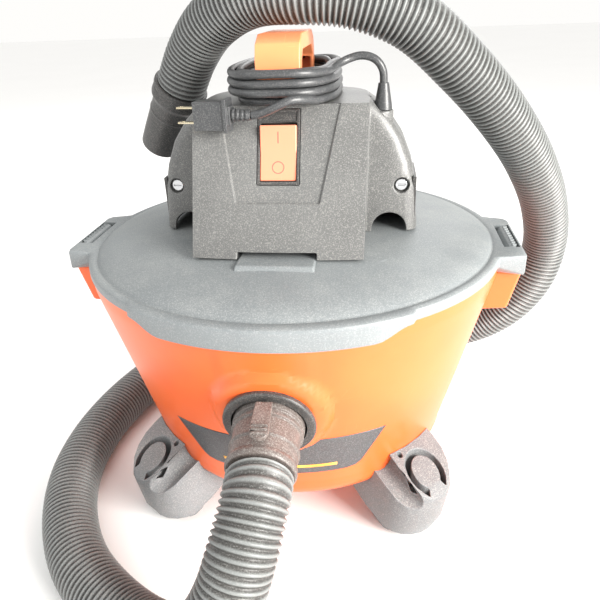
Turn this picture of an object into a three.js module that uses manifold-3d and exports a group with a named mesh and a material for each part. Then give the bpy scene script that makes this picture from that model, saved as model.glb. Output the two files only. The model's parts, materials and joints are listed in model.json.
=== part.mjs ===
// Wet and dry shop vacuum: a tapered tank on four caster feet, a latched lid that carries the
// motor, the filter and the carry handle, and a ribbed hose that lies around the tank and over the top.
// Millimetres, +Z up, the front (inlet side) faces -Y, the floor is z = 0.
import * as THREE from 'three';
import { mergeVertices } from 'three/addons/utils/BufferGeometryUtils.js';
import Module from 'manifold-3d';

const wasm = await Module();
wasm.setup();

// ---------------------------------------------------------------- driving sizes

const touchGap = 0.3; // left between pieces that touch
const runGap = 0.3; // left around anything that turns
const roundSegments = 48; // shared by the tank, the lid and what seats between them

// lid and tank
const lidRadius = 220; // over the front and rear skirt sectors
const skirtStep = 5; // the side sectors of the skirt stand back by this
const sectorHalfAngle = 33;
const skirtHeight = 20;
const skirtWall = 3;
const lidFit = 0.5; // tank rim to skirt, on the radius
const lidPlate = 3.5;
const domeRise = 18; // lid centre above lid edge
const tankHeight = 206; // base to the shoulder that the lid sits on
const tankTaper = 52; // the wall's radius at the base is smaller by this
const tankWall = 3.5;
const baseFillet = 26;
const rimHeight = 13; // rim above the shoulder
const groundClearance = 58;

// latches and lugs
const lugReach = 12; // lug face beyond the front skirt sector
const lugHalf = 46;
const lugCentreY = -6;
const lugDrop = 46;
const windowHalf = 33;
const latchHalf = 30;
const latchPinRadius = 2;

// inlet and hose
const inletHeight = 186;
const portRimWidth = 13.3; // port's rim beyond the hose, on the radius
const bossStand = 7;
const portStand = 5;
const hoseRadius = 27.7;
const hoseBore = 21;
const cuffLength = 60;
const endCuffLength = 92;
const lockTabGap = 3.5; // the tab's travel, above the cuff

// caster feet
const footAngle = 46; // from the front or rear, towards the side
const footStandOff = 59; // rounded end beyond the tank's base
const footEndRadius = 40;
const footTop = 101;
const footBottom = 9;
const footPostRadius = 15;
const slotWidth = 6;
const grooveSlope = 28;
const stemInset = 54; // swivel axis, in from the end of the foot
const wheelRadius = 20;
const wheelRoom = 12; // above the wheel, for the fork's plate
const sweepRoom = 4; // round the wheel as it swivels
const stemGrip = 6; // stem above the tank's base
const wheelWidth = 14;
const casterTrail = 10;
const axleRadius = 3;
const stemRadius = 5;
const forkPlate = 3.5;

// power head
const coverWidth = 256;
const coverTop = 143; // top of the cover above the lid edge
const coverWall = 3;
const coverFront = 46; // front face of the side wings, from the axis
const coverRear = 118;
const panelHalfFoot = 77.5;
const panelHalfTop = 80;
const panelFoot = 120; // foot of the front panel, from the axis
const panelHead = 62; // top of the front panel, from the axis
const panelBow = 4;
const panelWall = 6;
const grilleLength = 60;
const grilleHeight = 40;
const exhaustRadius = 31;
const exhaustBore = 25;
const exhaustReach = 16;
const wingScrewX = 111;
const wingScrewZ = 45; // above the cover's bottom
const rearScrewX = 70;
const glandX = 92;
const glandY = -24;
const glandRadius = 6;
const glandDrop = 12; // seat of the strain relief below the cover's top

// switch
const bezelWidth = 38;
const bezelLength = 67.5;
const bezelCentre = 99.75; // up the panel's slope from its foot
const rockerWidth = 32.8;
const rockerLength = 48.4;
const rockerTilt = 8; // either side of level
const rockerCentre = 94.75;
const rockerPivotDepth = -4;

// carry handle and cord
const handleHalfLength = 62;
const handleHeight = 57; // above the cover's top
const handleWidth = 40;
const handlePost = 14;
const handleSkin = 3.5;
const coilHalfX = 45; // centreline of the wound cord
const coilHalfY = 79;
const coilSquareness = 0.7;
const coilBand = 18;
const coilHeight = 31;
const cordRadius = 3.6;
const plugLength = 31;
const plugWidth = 24;
const bladeGauge = 1.5;
const bladePitch = 12.7;
const plugOrigin = [-36, -86, 422.5];
const plugYaw = 6;

// motor and blower
const blowerRadius = 84;
const blowerHeight = 42;
const blowerWall = 2.5;
const impellerRadius = 76;
const shaftRadius = 4;
const bearingRadius = 11;
const bearingHeight = 7;
const motorRadius = 48;
const motorHeight = 59;
const armatureRadius = 24;
const fanRadius = 30;

// filter under the lid
const cageRadius = 62;
const cageHeight = 122;
const cageWall = 3;
const cartridgeRadius = 85;
const filterPlate = 6;
const floatRadius = 24;
const floatSeat = 15; // air hole that the ball closes
const studRadius = 6;

// ---------------------------------------------------------------- sizes that follow

const rad = THREE.MathUtils.degToRad;
const baseZ = groundClearance;
const shoulderZ = baseZ + tankHeight;
const rimTop = shoulderZ + rimHeight;
const skirtBottom = shoulderZ + touchGap;
const lidEdgeZ = skirtBottom + skirtHeight;
const lidInnerTop = lidEdgeZ - lidPlate;
const recessRadius = lidRadius - skirtStep;
const skirtInner = recessRadius - skirtWall;
const rimRadius = skirtInner - lidFit;
const tankTopRadius = rimRadius + 1.5;
const tankBaseRadius = tankTopRadius - tankTaper;
const wallSlope = tankTaper / tankHeight;
const tankRadiusAt = (z) => tankBaseRadius + (z - baseZ) * wallSlope;
const lidTop = lidEdgeZ + domeRise;
const lidUnderside = lidTop - lidPlate - 2.5;
const lugX = lidRadius + lugReach;
const windowInner = recessRadius - 1.5;
const windowOuter = lugX - 3;
const latchPinX = (windowInner + windowOuter) / 2 - 2;
const latchPinZ = lidEdgeZ - 12;

const inletTilt = Math.atan(wallSlope);
const wallThickness = tankWall / Math.cos(inletTilt);
const portRadius = hoseRadius + portRimWidth;
const portBore = hoseRadius - 2.2;
const portFace = bossStand + touchGap + portStand;

const coverBottom = lidTop + touchGap;
const coverTopZ = lidEdgeZ + coverTop;
const coverRise = coverTopZ - coverBottom;
const panelLean = Math.atan((panelFoot - panelHead) / coverRise);

const blowerBottom = lidTop + touchGap;
const blowerTop = blowerBottom + blowerHeight;
const motorBottom = blowerTop + touchGap;
const motorTop = motorBottom + motorHeight;

const cageTop = lidUnderside - touchGap;
const cageBottom = cageTop - cageHeight;
const handleBase = coverTopZ + touchGap;

// ---------------------------------------------------------------- finishes

const finish = (colour, roughness, metalness = 0) =>
  new THREE.MeshStandardMaterial({ color: colour, roughness, metalness });

const finishes = {
  tank: () => finish(0xf0601f, 0.45),
  trim: () => finish(0xe8622a, 0.5),
  lid: () => finish(0x53575b, 0.6),
  cover: () => finish(0x45484b, 0.6),
  foot: () => finish(0x5a5b5c, 0.7),
  black: () => finish(0x1d1e1f, 0.55),
  hose: () => finish(0x3b3a37, 0.6),
  rubber: () => finish(0x222222, 0.85),
  steel: () => finish(0xb9bcc0, 0.35, 0.9),
  brass: () => finish(0xc9a24c, 0.35, 0.9),
  paper: () => finish(0xe7dfca, 0.95),
  white: () => finish(0xe9e9e4, 0.6),
};

// ---------------------------------------------------------------- solid helpers

function toSolid(geometry) {
  const bare = geometry.clone();
  bare.deleteAttribute('normal');
  bare.deleteAttribute('uv');
  const merged = mergeVertices(bare, 1e-4);
  return new wasm.Manifold(new wasm.Mesh({
    numProp: 3,
    vertProperties: new Float32Array(merged.attributes.position.array),
    triVerts: new Uint32Array(merged.index.array),
  }));
}

function toGeometry(solid) {
  const mesh = solid.getMesh();
  const geometry = new THREE.BufferGeometry();
  geometry.setAttribute('position', new THREE.BufferAttribute(new Float32Array(mesh.vertProperties), 3));
  geometry.setIndex(new THREE.BufferAttribute(new Uint32Array(mesh.triVerts), 1));
  geometry.computeVertexNormals();
  return geometry;
}

function join(first, ...others) {
  return toGeometry(others.reduce((sum, next) => sum.add(toSolid(next)), toSolid(first)));
}

function cut(first, ...others) {
  return toGeometry(others.reduce((rest, next) => rest.subtract(toSolid(next)), toSolid(first)));
}

function common(first, ...others) {
  return toGeometry(others.reduce((shared, next) => shared.intersect(toSolid(next)), toSolid(first)));
}

// Turned about Z from [radius, height] corners.
function turned(corners, segments = 48) {
  const outline = corners.map(([radius, height]) => new THREE.Vector2(radius, height));
  const last = corners[corners.length - 1];
  const onAxis = corners[0][0] === 0 && last[0] === 0;
  if (!onAxis) outline.push(outline[0].clone());
  return new THREE.LatheGeometry(outline, segments).rotateX(Math.PI / 2);
}

function ring(outer, inner, bottom, top, segments = 48) {
  return turned([[inner, bottom], [outer, bottom], [outer, top], [inner, top]], segments);
}

function rod(radius, bottom, top, segments = 24) {
  return new THREE.CylinderGeometry(radius, radius, top - bottom, segments)
    .rotateX(Math.PI / 2)
    .translate(0, 0, (bottom + top) / 2);
}

// A rod whose own Z runs along +Y.
function rodAlongY(radius, from, to, segments = 24) {
  return rod(radius, from, to, segments).rotateX(-Math.PI / 2);
}

// A rod whose own Z runs along +X.
function rodAlongX(radius, from, to, segments = 24) {
  return rod(radius, from, to, segments).rotateY(Math.PI / 2);
}

function block(x0, x1, y0, y1, z0, z1) {
  return new THREE.BoxGeometry(x1 - x0, y1 - y0, z1 - z0)
    .translate((x0 + x1) / 2, (y0 + y1) / 2, (z0 + z1) / 2);
}

// Moves every vertex of a geometry with a function of its own place.
function reshaped(geometry, place) {
  const points = geometry.attributes.position;
  const point = new THREE.Vector3();
  for (let i = 0; i < points.count; i += 1) {
    point.fromBufferAttribute(points, i);
    const moved = place(point);
    points.setXYZ(i, moved[0], moved[1], moved[2]);
  }
  return geometry;
}

// A box with its own rectangle [x0, x1, y0, y1] at the bottom and at the top.
function taperedBlock(bottom, top, z0, z1) {
  const between = (a, b, share) => a + (b - a) * share;
  return reshaped(new THREE.BoxGeometry(1, 1, 1), (p) => {
    const up = p.z + 0.5;
    const x = between(between(bottom[0], top[0], up), between(bottom[1], top[1], up), p.x + 0.5);
    const y = between(between(bottom[2], top[2], up), between(bottom[3], top[3], up), p.y + 0.5);
    return [x, y, between(z0, z1, up)];
  });
}

function polygon(corners) {
  return new THREE.Shape(corners.map(([x, y]) => new THREE.Vector2(x, y)));
}

function extruded(shape, z0, z1, segments = 12) {
  return new THREE.ExtrudeGeometry(shape, { depth: z1 - z0, bevelEnabled: false, curveSegments: segments })
    .translate(0, 0, z0);
}

// The left-hand copy of a right-hand shape.
function mirrored(shape) {
  const geometry = shape.toNonIndexed().scale(-1, 1, 1);
  const points = geometry.attributes.position;
  const first = new THREE.Vector3();
  const second = new THREE.Vector3();
  for (let i = 0; i < points.count; i += 3) {
    first.fromBufferAttribute(points, i);
    second.fromBufferAttribute(points, i + 1);
    points.setXYZ(i, second.x, second.y, second.z);
    points.setXYZ(i + 1, first.x, first.y, first.z);
  }
  return geometry;
}

// A side profile of [y, z] corners, given width along X.
function profileAlongX(corners, x0, x1) {
  return extruded(polygon(corners), x0, x1)
    .applyMatrix4(new THREE.Matrix4().makeBasis(
      new THREE.Vector3(0, 1, 0),
      new THREE.Vector3(0, 0, 1),
      new THREE.Vector3(1, 0, 0),
    ));
}

function sweptTube(points, radius, bore, sides, steps) {
  const path = new THREE.CatmullRomCurve3(points.map((p) => new THREE.Vector3(...p)), false, 'centripetal');
  const circle = new THREE.Shape();
  circle.absarc(0, 0, radius, 0, Math.PI * 2, false);
  if (bore > 0) {
    const hole = new THREE.Path();
    hole.absarc(0, 0, bore, 0, Math.PI * 2, true);
    circle.holes.push(hole);
  }
  return new THREE.ExtrudeGeometry(circle, {
    steps, extrudePath: path, curveSegments: sides, bevelEnabled: false,
  });
}

const group = new THREE.Group();

function place(name, geometry, material, parent = group) {
  const mesh = new THREE.Mesh(geometry, material);
  mesh.name = name;
  parent.add(mesh);
  return mesh;
}

// ---------------------------------------------------------------- tank

function tankOutside(extra = 0) {
  const corner = tankRadiusAt(baseZ + baseFillet);
  const flat = corner - baseFillet * 0.9;
  const steps = 3;
  const outline = [[0, baseZ - extra], [flat, baseZ - extra]];
  for (let i = 1; i <= steps; i += 1) {
    const angle = (i / steps) * Math.PI / 2;
    const radius = flat + (corner - flat) * Math.sin(angle) + extra;
    outline.push([radius, baseZ + baseFillet * (1 - Math.cos(angle)) - extra * Math.cos(angle)]);
  }
  outline.push([tankTopRadius + extra, shoulderZ], [rimRadius + extra, shoulderZ + 0.01]);
  outline.push([rimRadius + extra, rimTop], [0, rimTop]);
  return turned(outline, roundSegments);
}

function tankInside() {
  const corner = tankRadiusAt(baseZ + baseFillet) - wallThickness;
  const flat = corner - baseFillet * 0.8;
  return turned([
    [0, baseZ + tankWall],
    [flat, baseZ + tankWall],
    [flat + (corner - flat) * 0.7, baseZ + baseFillet * 0.42],
    [corner, baseZ + baseFillet],
    [tankTopRadius - wallThickness, shoulderZ - 4],
    [rimRadius - tankWall, shoulderZ + 2],
    [rimRadius - tankWall, rimTop + 1],
    [0, rimTop + 1],
  ], roundSegments);
}

function tankLug(side) {
  const root = tankTopRadius - 16;
  const foot = lugX - 9;
  const lug = taperedBlock(
    [root - 12, foot, lugCentreY - lugHalf + 4, lugCentreY + lugHalf - 4],
    [root, lugX - 1, lugCentreY - lugHalf, lugCentreY + lugHalf],
    shoulderZ - lugDrop,
    shoulderZ,
  );
  return side < 0 ? mirrored(lug) : lug;
}

function latchPocket() {
  return block(windowInner + 0.5, lugX - 8, lugCentreY - latchHalf - 3, lugCentreY + latchHalf + 3,
    shoulderZ - 21, shoulderZ + 1);
}

// Turns a shape built round +Z so that +Z points along the inlet, out and a little down.
function atInlet(geometry) {
  return geometry
    .rotateX(Math.PI / 2 + inletTilt)
    .translate(0, -tankRadiusAt(inletHeight), inletHeight);
}

function tank() {
  const outside = tankOutside();
  const boss = atInlet(turned([
    [0, -14], [portRadius + 12, -14], [portRadius + 12, 1], [portRadius + 6, bossStand], [0, bossStand],
  ], 32));
  const shell = join(outside, tankLug(1), tankLug(-1), boss);
  const bore = atInlet(rod(portRadius - 4.7, -30, 30, 32));
  return cut(shell, tankInside(), latchPocket(), mirrored(latchPocket()), bore);
}

function inletPort() {
  const wall = portRadius - 5;
  return atInlet(turned([
    [portBore + runGap, -13],
    [wall, -13],
    [wall, bossStand + touchGap],
    [portRadius, bossStand + touchGap],
    [portRadius, portFace - 1.5],
    [portRadius - 1.5, portFace],
    [wall - 3, portFace],
    [wall - 3, 2],
    [portBore + runGap, 2],
  ], 32));
}

function inletCuff() {
  const collar = portRadius - 8 - 1.5;
  return atInlet(turned([
    [hoseBore, -11],
    [portBore, -11],
    [portBore, 2 + touchGap],
    [collar, 2 + touchGap],
    [collar, portFace + 2],
    [hoseRadius + 1, portFace + 5],
    [hoseRadius + 1, cuffLength - 6],
    [hoseRadius + 2.5, cuffLength - 4],
    [hoseRadius + 1, cuffLength],
    [hoseBore, cuffLength],
  ], 24));
}

function lockTab() {
  const under = hoseRadius + 1 + lockTabGap;
  const shape = new THREE.Shape();
  shape.moveTo(-7, portFace + 3);
  shape.lineTo(7, portFace + 3);
  shape.lineTo(8, 44);
  shape.absarc(0, 44, 8, 0, Math.PI, false);
  const plate = extruded(shape, 0, 4, 8);
  const ridges = [0, 1, 2].map((i) => block(-6, 6, 38 + i * 4, 39.5 + i * 4, 3, 5.2));
  const pad = join(plate, ...ridges).applyMatrix4(new THREE.Matrix4().makeBasis(
    new THREE.Vector3(-1, 0, 0),
    new THREE.Vector3(0, 0, 1),
    new THREE.Vector3(0, 1, 0),
  ));
  return atInlet(pad.translate(0, under, 0));
}

// ---------------------------------------------------------------- caster feet

const footReach = tankBaseRadius + footStandOff;
const stemReach = footReach - stemInset;
const wellTop = 2 * wheelRadius + wheelRoom;
const stemTop = baseZ + stemGrip;

// Turns a shape built with the tank's axis at x = 0 and +X outwards to the front right foot.
function atFoot(geometry) {
  return geometry.rotateZ(-rad(90 - footAngle));
}

// The foot's outer wall: straight sides, a round end, drawn in towards the floor.
function footLoft() {
  const levels = [
    [footBottom, footReach - 14, footEndRadius - 7],
    [26, footReach - 6, footEndRadius - 2.5],
    [60, footReach, footEndRadius],
    [78, footReach - 3, footEndRadius - 1.5],
    [footTop, footReach - 9, footEndRadius - 5],
  ];
  const last = levels.length - 1;
  const root = footReach - 102;
  return reshaped(new THREE.CylinderGeometry(1, 1, last, 20, last), (p) => {
    const [z, reach, half] = levels[Math.round(p.y + last / 2)];
    const centre = reach - half;
    const across = Math.round(-p.z * 1e6) / 1e6;
    const along = Math.round(p.x * 1e6) / 1e6;
    if (across === 0 && along === 0) return [centre, 0, z];
    if (along >= 0) return [centre + half * along, half * across, z];
    const x = centre - (centre - root) * (-along) ** 0.25;
    return [x, half * Math.sign(across) * Math.abs(across) ** 0.25, z];
  });
}

function casterFoot() {
  const side = polygon([
    [footReach - 98, groundClearance - 10],
    [footReach - 70, 26],
    [stemReach + 8, footBottom],
    [footReach + 5, footBottom],
    [footReach + 5, 58],
    [footReach - 10, 74],
    [footReach - 28, 86],
    [footReach - 52, footTop],
    [footReach - 98, footTop],
  ]);
  const sideBlock = extruded(side, -footEndRadius - 1, footEndRadius + 1)
    .applyMatrix4(new THREE.Matrix4().makeRotationX(Math.PI / 2));
  const body = common(footLoft(), sideBlock);
  const postX = footReach - 22;
  const slotShape = new THREE.Shape();
  const slotOuter = footPostRadius + slotWidth;
  slotShape.absarc(postX, 0, slotOuter, rad(35), rad(325), false);
  slotShape.absarc(postX, 0, footPostRadius, rad(325), rad(35), true);
  const slot = extruded(slotShape, 56, footTop + 5, 8);
  const pinHole = rod(3, 70, footTop + 5, 8).translate(footReach - 45, -14, 0);
  const beside = (cutter) => cutter.rotateY(rad(grooveSlope)).translate(footReach - 42, -31, 84);
  const groove = beside(rodAlongX(11, -45, 45, 12));
  const shoulder = beside(block(-70, 70, -30, 7, 0, 60));
  const well = rod(casterTrail + wheelRadius + sweepRoom, -1, wellTop, 16).translate(stemReach, 0, 0);
  const stemHole = rod(stemRadius + runGap, wellTop - 12, stemTop + 1, 10).translate(stemReach, 0, 0);
  const shaped = cut(body, slot, pinHole, groove, shoulder, well, stemHole);
  return cut(atFoot(shaped), tankOutside(touchGap));
}

function casterFork() {
  const plateTop = wellTop - touchGap;
  const plateBottom = plateTop - forkPlate;
  const armInner = wheelWidth / 2 + 1.2;
  const arm = (side) => {
    const y0 = side * armInner;
    const y1 = side * (armInner + 3);
    const shape = new THREE.Shape();
    shape.moveTo(-9, plateBottom + 1);
    shape.lineTo(casterTrail - 7, wheelRadius - 2);
    shape.absarc(casterTrail, wheelRadius, 7.3, Math.PI * 1.1, Math.PI * 1.95, false);
    shape.lineTo(12, plateBottom + 1);
    return extruded(shape, Math.min(y0, y1), Math.max(y0, y1), 6)
      .applyMatrix4(new THREE.Matrix4().makeRotationX(Math.PI / 2));
  };
  const plate = rod(17, plateBottom, plateTop, 20);
  const stem = rod(stemRadius, plateTop - 1, stemTop, 12);
  const axleHole = rodAlongY(axleRadius + touchGap, -20, 20, 10).translate(casterTrail, 0, wheelRadius);
  const fork = cut(join(plate, stem, arm(1), arm(-1)), axleHole);
  return atFoot(fork.translate(stemReach, 0, 0));
}

function casterWheel() {
  const half = wheelWidth / 2;
  const wheel = turned([
    [axleRadius + runGap, -half],
    [7, -half],
    [8, -half + 2],
    [wheelRadius - 5, -half + 2],
    [wheelRadius - 4, -half],
    [wheelRadius - 1.5, -half],
    [wheelRadius, 0],
    [wheelRadius - 1.5, half],
    [wheelRadius - 4, half],
    [wheelRadius - 5, half - 2],
    [8, half - 2],
    [7, half],
    [axleRadius + runGap, half],
  ], 16);
  return atFoot(wheel.rotateX(Math.PI / 2).translate(stemReach + casterTrail, 0, wheelRadius));
}

function casterAxle() {
  const reach = wheelWidth / 2 + 1.2 + 3 + 0.6;
  const shank = rodAlongY(axleRadius, -reach, reach, 12);
  return atFoot(shank.translate(stemReach + casterTrail, 0, wheelRadius));
}

// ---------------------------------------------------------------- lid

function lidOutline() {
  const shape = new THREE.Shape();
  const sector = rad(sectorHalfAngle);
  const front = -Math.PI / 2;
  const back = Math.PI / 2;
  const rootHalf = lugHalf + 24;
  const lowAngle = Math.asin((lugCentreY - rootHalf) / recessRadius);
  const highAngle = Math.asin((lugCentreY + rootHalf) / recessRadius);
  const lug = [
    [lugX - 6, lugCentreY - lugHalf - 10],
    [lugX, lugCentreY - lugHalf],
    [lugX, lugCentreY + lugHalf],
    [lugX - 6, lugCentreY + lugHalf + 10],
  ];
  shape.absarc(0, 0, lidRadius, front - sector, front + sector, false);
  shape.absarc(0, 0, recessRadius, front + sector, lowAngle, false);
  lug.forEach(([x, y]) => shape.lineTo(x, y));
  shape.absarc(0, 0, recessRadius, highAngle, back - sector, false);
  shape.absarc(0, 0, lidRadius, back - sector, back + sector, false);
  shape.absarc(0, 0, recessRadius, back + sector, Math.PI - highAngle, false);
  lug.reverse().forEach(([x, y]) => shape.lineTo(-x, y));
  shape.absarc(0, 0, recessRadius, Math.PI - lowAngle, Math.PI * 1.5 - sector, false);
  return shape;
}

function lid() {
  const bevel = 1.5;
  const rimPlate = new THREE.ExtrudeGeometry(lidOutline(), {
    depth: skirtHeight - bevel,
    curveSegments: 7,
    bevelEnabled: true,
    bevelSize: bevel,
    bevelOffset: -bevel,
    bevelThickness: bevel,
    bevelSegments: 1,
  }).translate(0, 0, skirtBottom);
  const flatBottom = block(-300, 300, -300, 300, skirtBottom - 10, skirtBottom);
  const dome = turned([
    [0, lidEdgeZ - 2],
    [recessRadius - 8, lidEdgeZ - 2],
    [recessRadius - 14, lidEdgeZ + 1.5],
    [recessRadius - 18, lidEdgeZ + 4],
    [recessRadius - 34, lidEdgeZ + 9],
    [recessRadius - 74, lidTop - 3],
    [110, lidTop],
    [0, lidTop],
  ], roundSegments);
  const cavity = turned([
    [0, skirtBottom - 1],
    [skirtInner, skirtBottom - 1],
    [skirtInner, lidInnerTop],
    [recessRadius - 20, lidInnerTop + 2],
    [recessRadius - 40, lidInnerTop + 8],
    [recessRadius - 80, lidUnderside],
    [0, lidUnderside],
  ], roundSegments);
  const windowCut = block(windowInner, windowOuter, lugCentreY - windowHalf, lugCentreY + windowHalf,
    skirtBottom - 5, lidEdgeZ + 5);
  const pinHole = rodAlongY(latchPinRadius + touchGap, lugCentreY - windowHalf - 5,
    lugCentreY + windowHalf + 5, 12).translate(latchPinX, 0, latchPinZ);
  const ledge = taperedBlock([-35, 35, -146, -60], [-35, 35, -136, -60], lidTop - 8, lidTop);
  const blowerInlet = rod(30, lidUnderside - 5, lidTop + 5, 32);
  return cut(join(rimPlate, dome, ledge), flatBottom, cavity, blowerInlet,
    windowCut, mirrored(windowCut), pinHole, mirrored(pinHole));
}

function lidGasket() {
  return ring(rimRadius, rimRadius - tankWall - 3, rimTop + touchGap, lidInnerTop - touchGap, roundSegments);
}

function latchPin() {
  return rodAlongY(latchPinRadius, lugCentreY - windowHalf - 4.7, lugCentreY + windowHalf + 4.7, 12)
    .translate(latchPinX, 0, latchPinZ);
}

function latch() {
  const y0 = lugCentreY - latchHalf;
  const y1 = lugCentreY + latchHalf;
  const side = new THREE.Shape();
  side.moveTo(-4, -26);
  side.lineTo(-1.5, -26);
  side.lineTo(-1.5, -4);
  side.lineTo(4.5, -3);
  side.lineTo(6.5, 3);
  side.lineTo(6.5, 11);
  side.lineTo(4, 12.5);
  side.lineTo(0.5, 11);
  side.lineTo(-4.5, 4);
  const hole = new THREE.Path();
  hole.absarc(0, 0, latchPinRadius + runGap, 0, Math.PI * 2, true);
  side.holes.push(hole);
  const plate = extruded(side, -y1, -y0, 8).rotateX(Math.PI / 2).translate(latchPinX, 0, latchPinZ);
  const count = 9;
  const pitch = (2 * latchHalf - 8) / (count - 1);
  const ribs = Array.from({ length: count }, (unused, i) => {
    const y = y0 + 4 + i * pitch;
    return block(latchPinX + 3, latchPinX + 7.3, y - 1.2, y + 1.2, latchPinZ + 5, latchPinZ + 13.4);
  });
  return join(plate, ...ribs);
}

// ---------------------------------------------------------------- power head

// Closed body through level sections {z, half, front, back}: square in front, round behind.
function headLoft(levels, sides) {
  const last = levels.length - 1;
  return reshaped(new THREE.CylinderGeometry(1, 1, last, sides, last), (p) => {
    const level = levels[Math.round(p.y + last / 2)];
    const reach = Math.hypot(p.x, p.z);
    if (reach < 1e-6) return [0, 0, level.z];
    const across = Math.round(p.x / reach * 1e6) / 1e6;
    const along = Math.round(-p.z / reach * 1e6) / 1e6;
    const power = along < 0 ? 0.22 : 0.84;
    const x = level.half * Math.sign(across) * Math.abs(across) ** power;
    const depth = along < 0 ? level.front : level.back;
    return [x, depth * Math.sign(along) * Math.abs(along) ** power, level.z];
  });
}

function headLevels(inset) {
  const half = coverWidth / 2;
  const share = (part) => coverBottom + coverRise * part;
  const rows = [
    [0, half, coverFront, coverRear],
    [0.34, half - 2, coverFront - 2, coverRear - 3],
    [0.52, half - 7, coverFront - 4, coverRear - 9],
    [0.7, half - 16, coverFront - 5, coverRear - 18],
    [0.86, half - 30, coverFront - 6, coverRear - 31],
    [0.96, half - 43, coverFront - 7, coverRear - 44],
    [1, half - 50, coverFront - 8, coverRear - 52],
  ];
  return rows.map(([part, wide, front, back], i) => {
    const top = i === rows.length - 1;
    const bottom = i === 0;
    const z = share(part) - (top ? inset : 0) - (bottom && inset > 0 ? 1 : 0);
    return { z, half: wide - inset, front: front - inset, back: back - inset };
  });
}

// The leaning block behind the front panel, with a slightly bowed front.
function panelBlock(sideInset, frontInset, topInset) {
  const bottom = coverBottom - (topInset > 0 ? 1 : 0);
  const top = coverTopZ - topInset;
  return reshaped(new THREE.BoxGeometry(2, 1, 1, 8, 1, 1), (p) => {
    const up = p.z + 0.5;
    const half = panelHalfFoot + (panelHalfTop - panelHalfFoot) * up - sideInset;
    const front = panelFoot + (panelHead - panelFoot) * up - frontInset;
    const bow = p.y < 0 ? panelBow * (1 - p.x * p.x) : 0;
    const y = p.y < 0 ? -front - bow : -20;
    return [p.x * half, y, bottom + (top - bottom) * up];
  });
}

// Lays a shape drawn flat (x across, y up the slope, z outwards) on the front panel.
function onPanel(geometry) {
  return geometry.rotateX(Math.PI / 2 - panelLean).translate(0, -panelFoot, coverBottom);
}

// Pocket, boss and hole of one cover screw; facing is -1 at the front and 1 at the rear.
function screwBoss(x, faceY, facing) {
  const deep = faceY - facing * 28;
  return rodAlongY(11, Math.min(faceY, deep), Math.max(faceY, deep), 12)
    .translate(x, 0, coverBottom + wingScrewZ);
}

function screwPocket(x, faceY, facing) {
  const floor = faceY - facing * 9;
  const out = faceY + facing * 20;
  const inner = faceY - facing * 26;
  const z = coverBottom + wingScrewZ;
  return join(
    rodAlongY(7.5, Math.min(floor, out), Math.max(floor, out), 12),
    rodAlongY(2.5, Math.min(floor, inner), Math.max(floor, inner) + 0.5, 8),
  ).translate(x, 0, z);
}

const screwSpots = [
  ['cover_screw_front_right', wingScrewX, -(coverFront - 2), -1],
  ['cover_screw_front_left', -wingScrewX, -(coverFront - 2), -1],
  ['cover_screw_rear_right', rearScrewX, coverRear - 22, 1],
  ['cover_screw_rear_left', -rearScrewX, coverRear - 22, 1],
];

function coverScrew(x, faceY, facing) {
  const floor = faceY - facing * (9 - touchGap);
  const out = floor + facing * 3;
  const tip = faceY - facing * 24;
  const slot = block(-4, 4, Math.min(out, out + facing * -1.2), Math.max(out, out + facing * -1.2) + 0.01,
    -0.7, 0.7);
  const screw = join(
    rodAlongY(5.5, Math.min(floor, out), Math.max(floor, out), 12),
    rodAlongY(2.2, Math.min(floor, tip), Math.max(floor, tip) + 0.2, 8),
  );
  return cut(screw, slot).translate(x, 0, coverBottom + wingScrewZ);
}

function motorCover() {
  const outer = join(headLoft(headLevels(0), 36), panelBlock(0, 0, 0));
  const innerLevels = headLevels(coverWall).filter((level, i) => i % 2 === 0);
  const inner = join(headLoft(innerLevels, 20), panelBlock(coverWall, panelWall, coverWall));
  const bosses = screwSpots.map(([, x, faceY, facing]) => screwBoss(x, faceY, facing));
  const handleBosses = [-1, 1].map((end) => rod(7, coverTopZ - 14, coverTopZ - 1, 16)
    .translate(0, end * (handleHalfLength - 20), 0));
  const portPipe = rodAlongY(exhaustRadius, coverRear - 20, coverRear + exhaustReach, 24)
    .translate(0, 0, coverBottom + exhaustRadius + 3);
  const glandBoss = rod(glandRadius + 4, coverTopZ - 40, coverTopZ - glandDrop, 14)
    .translate(glandX, glandY, 0);
  const solidBosses = bosses.map((boss) => common(boss, outer));
  const shell = join(cut(outer, inner), ...solidBosses, ...handleBosses, portPipe, glandBoss);
  const recess = onPanel(extruded(polygon([[-38, 49], [38, 49], [57, 150], [-57, 150]]), 0.5, 20));
  const panelHole = onPanel(block(-bezelWidth / 2 - touchGap, bezelWidth / 2 + touchGap,
    bezelCentre - bezelLength / 2 - touchGap, bezelCentre + bezelLength / 2 + touchGap, -30, 20));
  const arches = [-1, 1].map((side) => rodAlongY(17, -coverFront - 5, -coverFront + 12, 24)
    .translate(side * 100, 0, coverBottom + 2));
  const notch = block(-36, 36, -panelFoot - 10, -panelFoot + 14, coverBottom - 5, coverBottom + 6);
  const grilleHole = block(coverWidth / 2 - 9, coverWidth / 2 + 5, -36, -36 + grilleLength,
    coverBottom + 12, coverBottom + 12 + grilleHeight);
  const portHole = rodAlongY(exhaustBore, coverRear - 30, coverRear + exhaustReach + 5, 20)
    .translate(0, 0, coverBottom + exhaustRadius + 3);
  const handleHoles = [-1, 1].map((end) => rod(2.5, coverTopZ - 20, coverTopZ + 5, 12)
    .translate(0, end * (handleHalfLength - 20), 0));
  const glandHole = join(
    rod(glandRadius + touchGap, coverTopZ - 60, coverTopZ + 5, 14),
    rod(glandRadius + 3.5, coverTopZ - glandDrop, coverTopZ + 5, 14),
  ).translate(glandX, glandY, 0);
  const pockets = screwSpots.map(([, x, faceY, facing]) => screwPocket(x, faceY, facing));
  return cut(shell, recess, panelHole, ...arches, notch, grilleHole, mirrored(grilleHole), portHole,
    ...handleHoles, glandHole, ...pockets);
}

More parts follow.
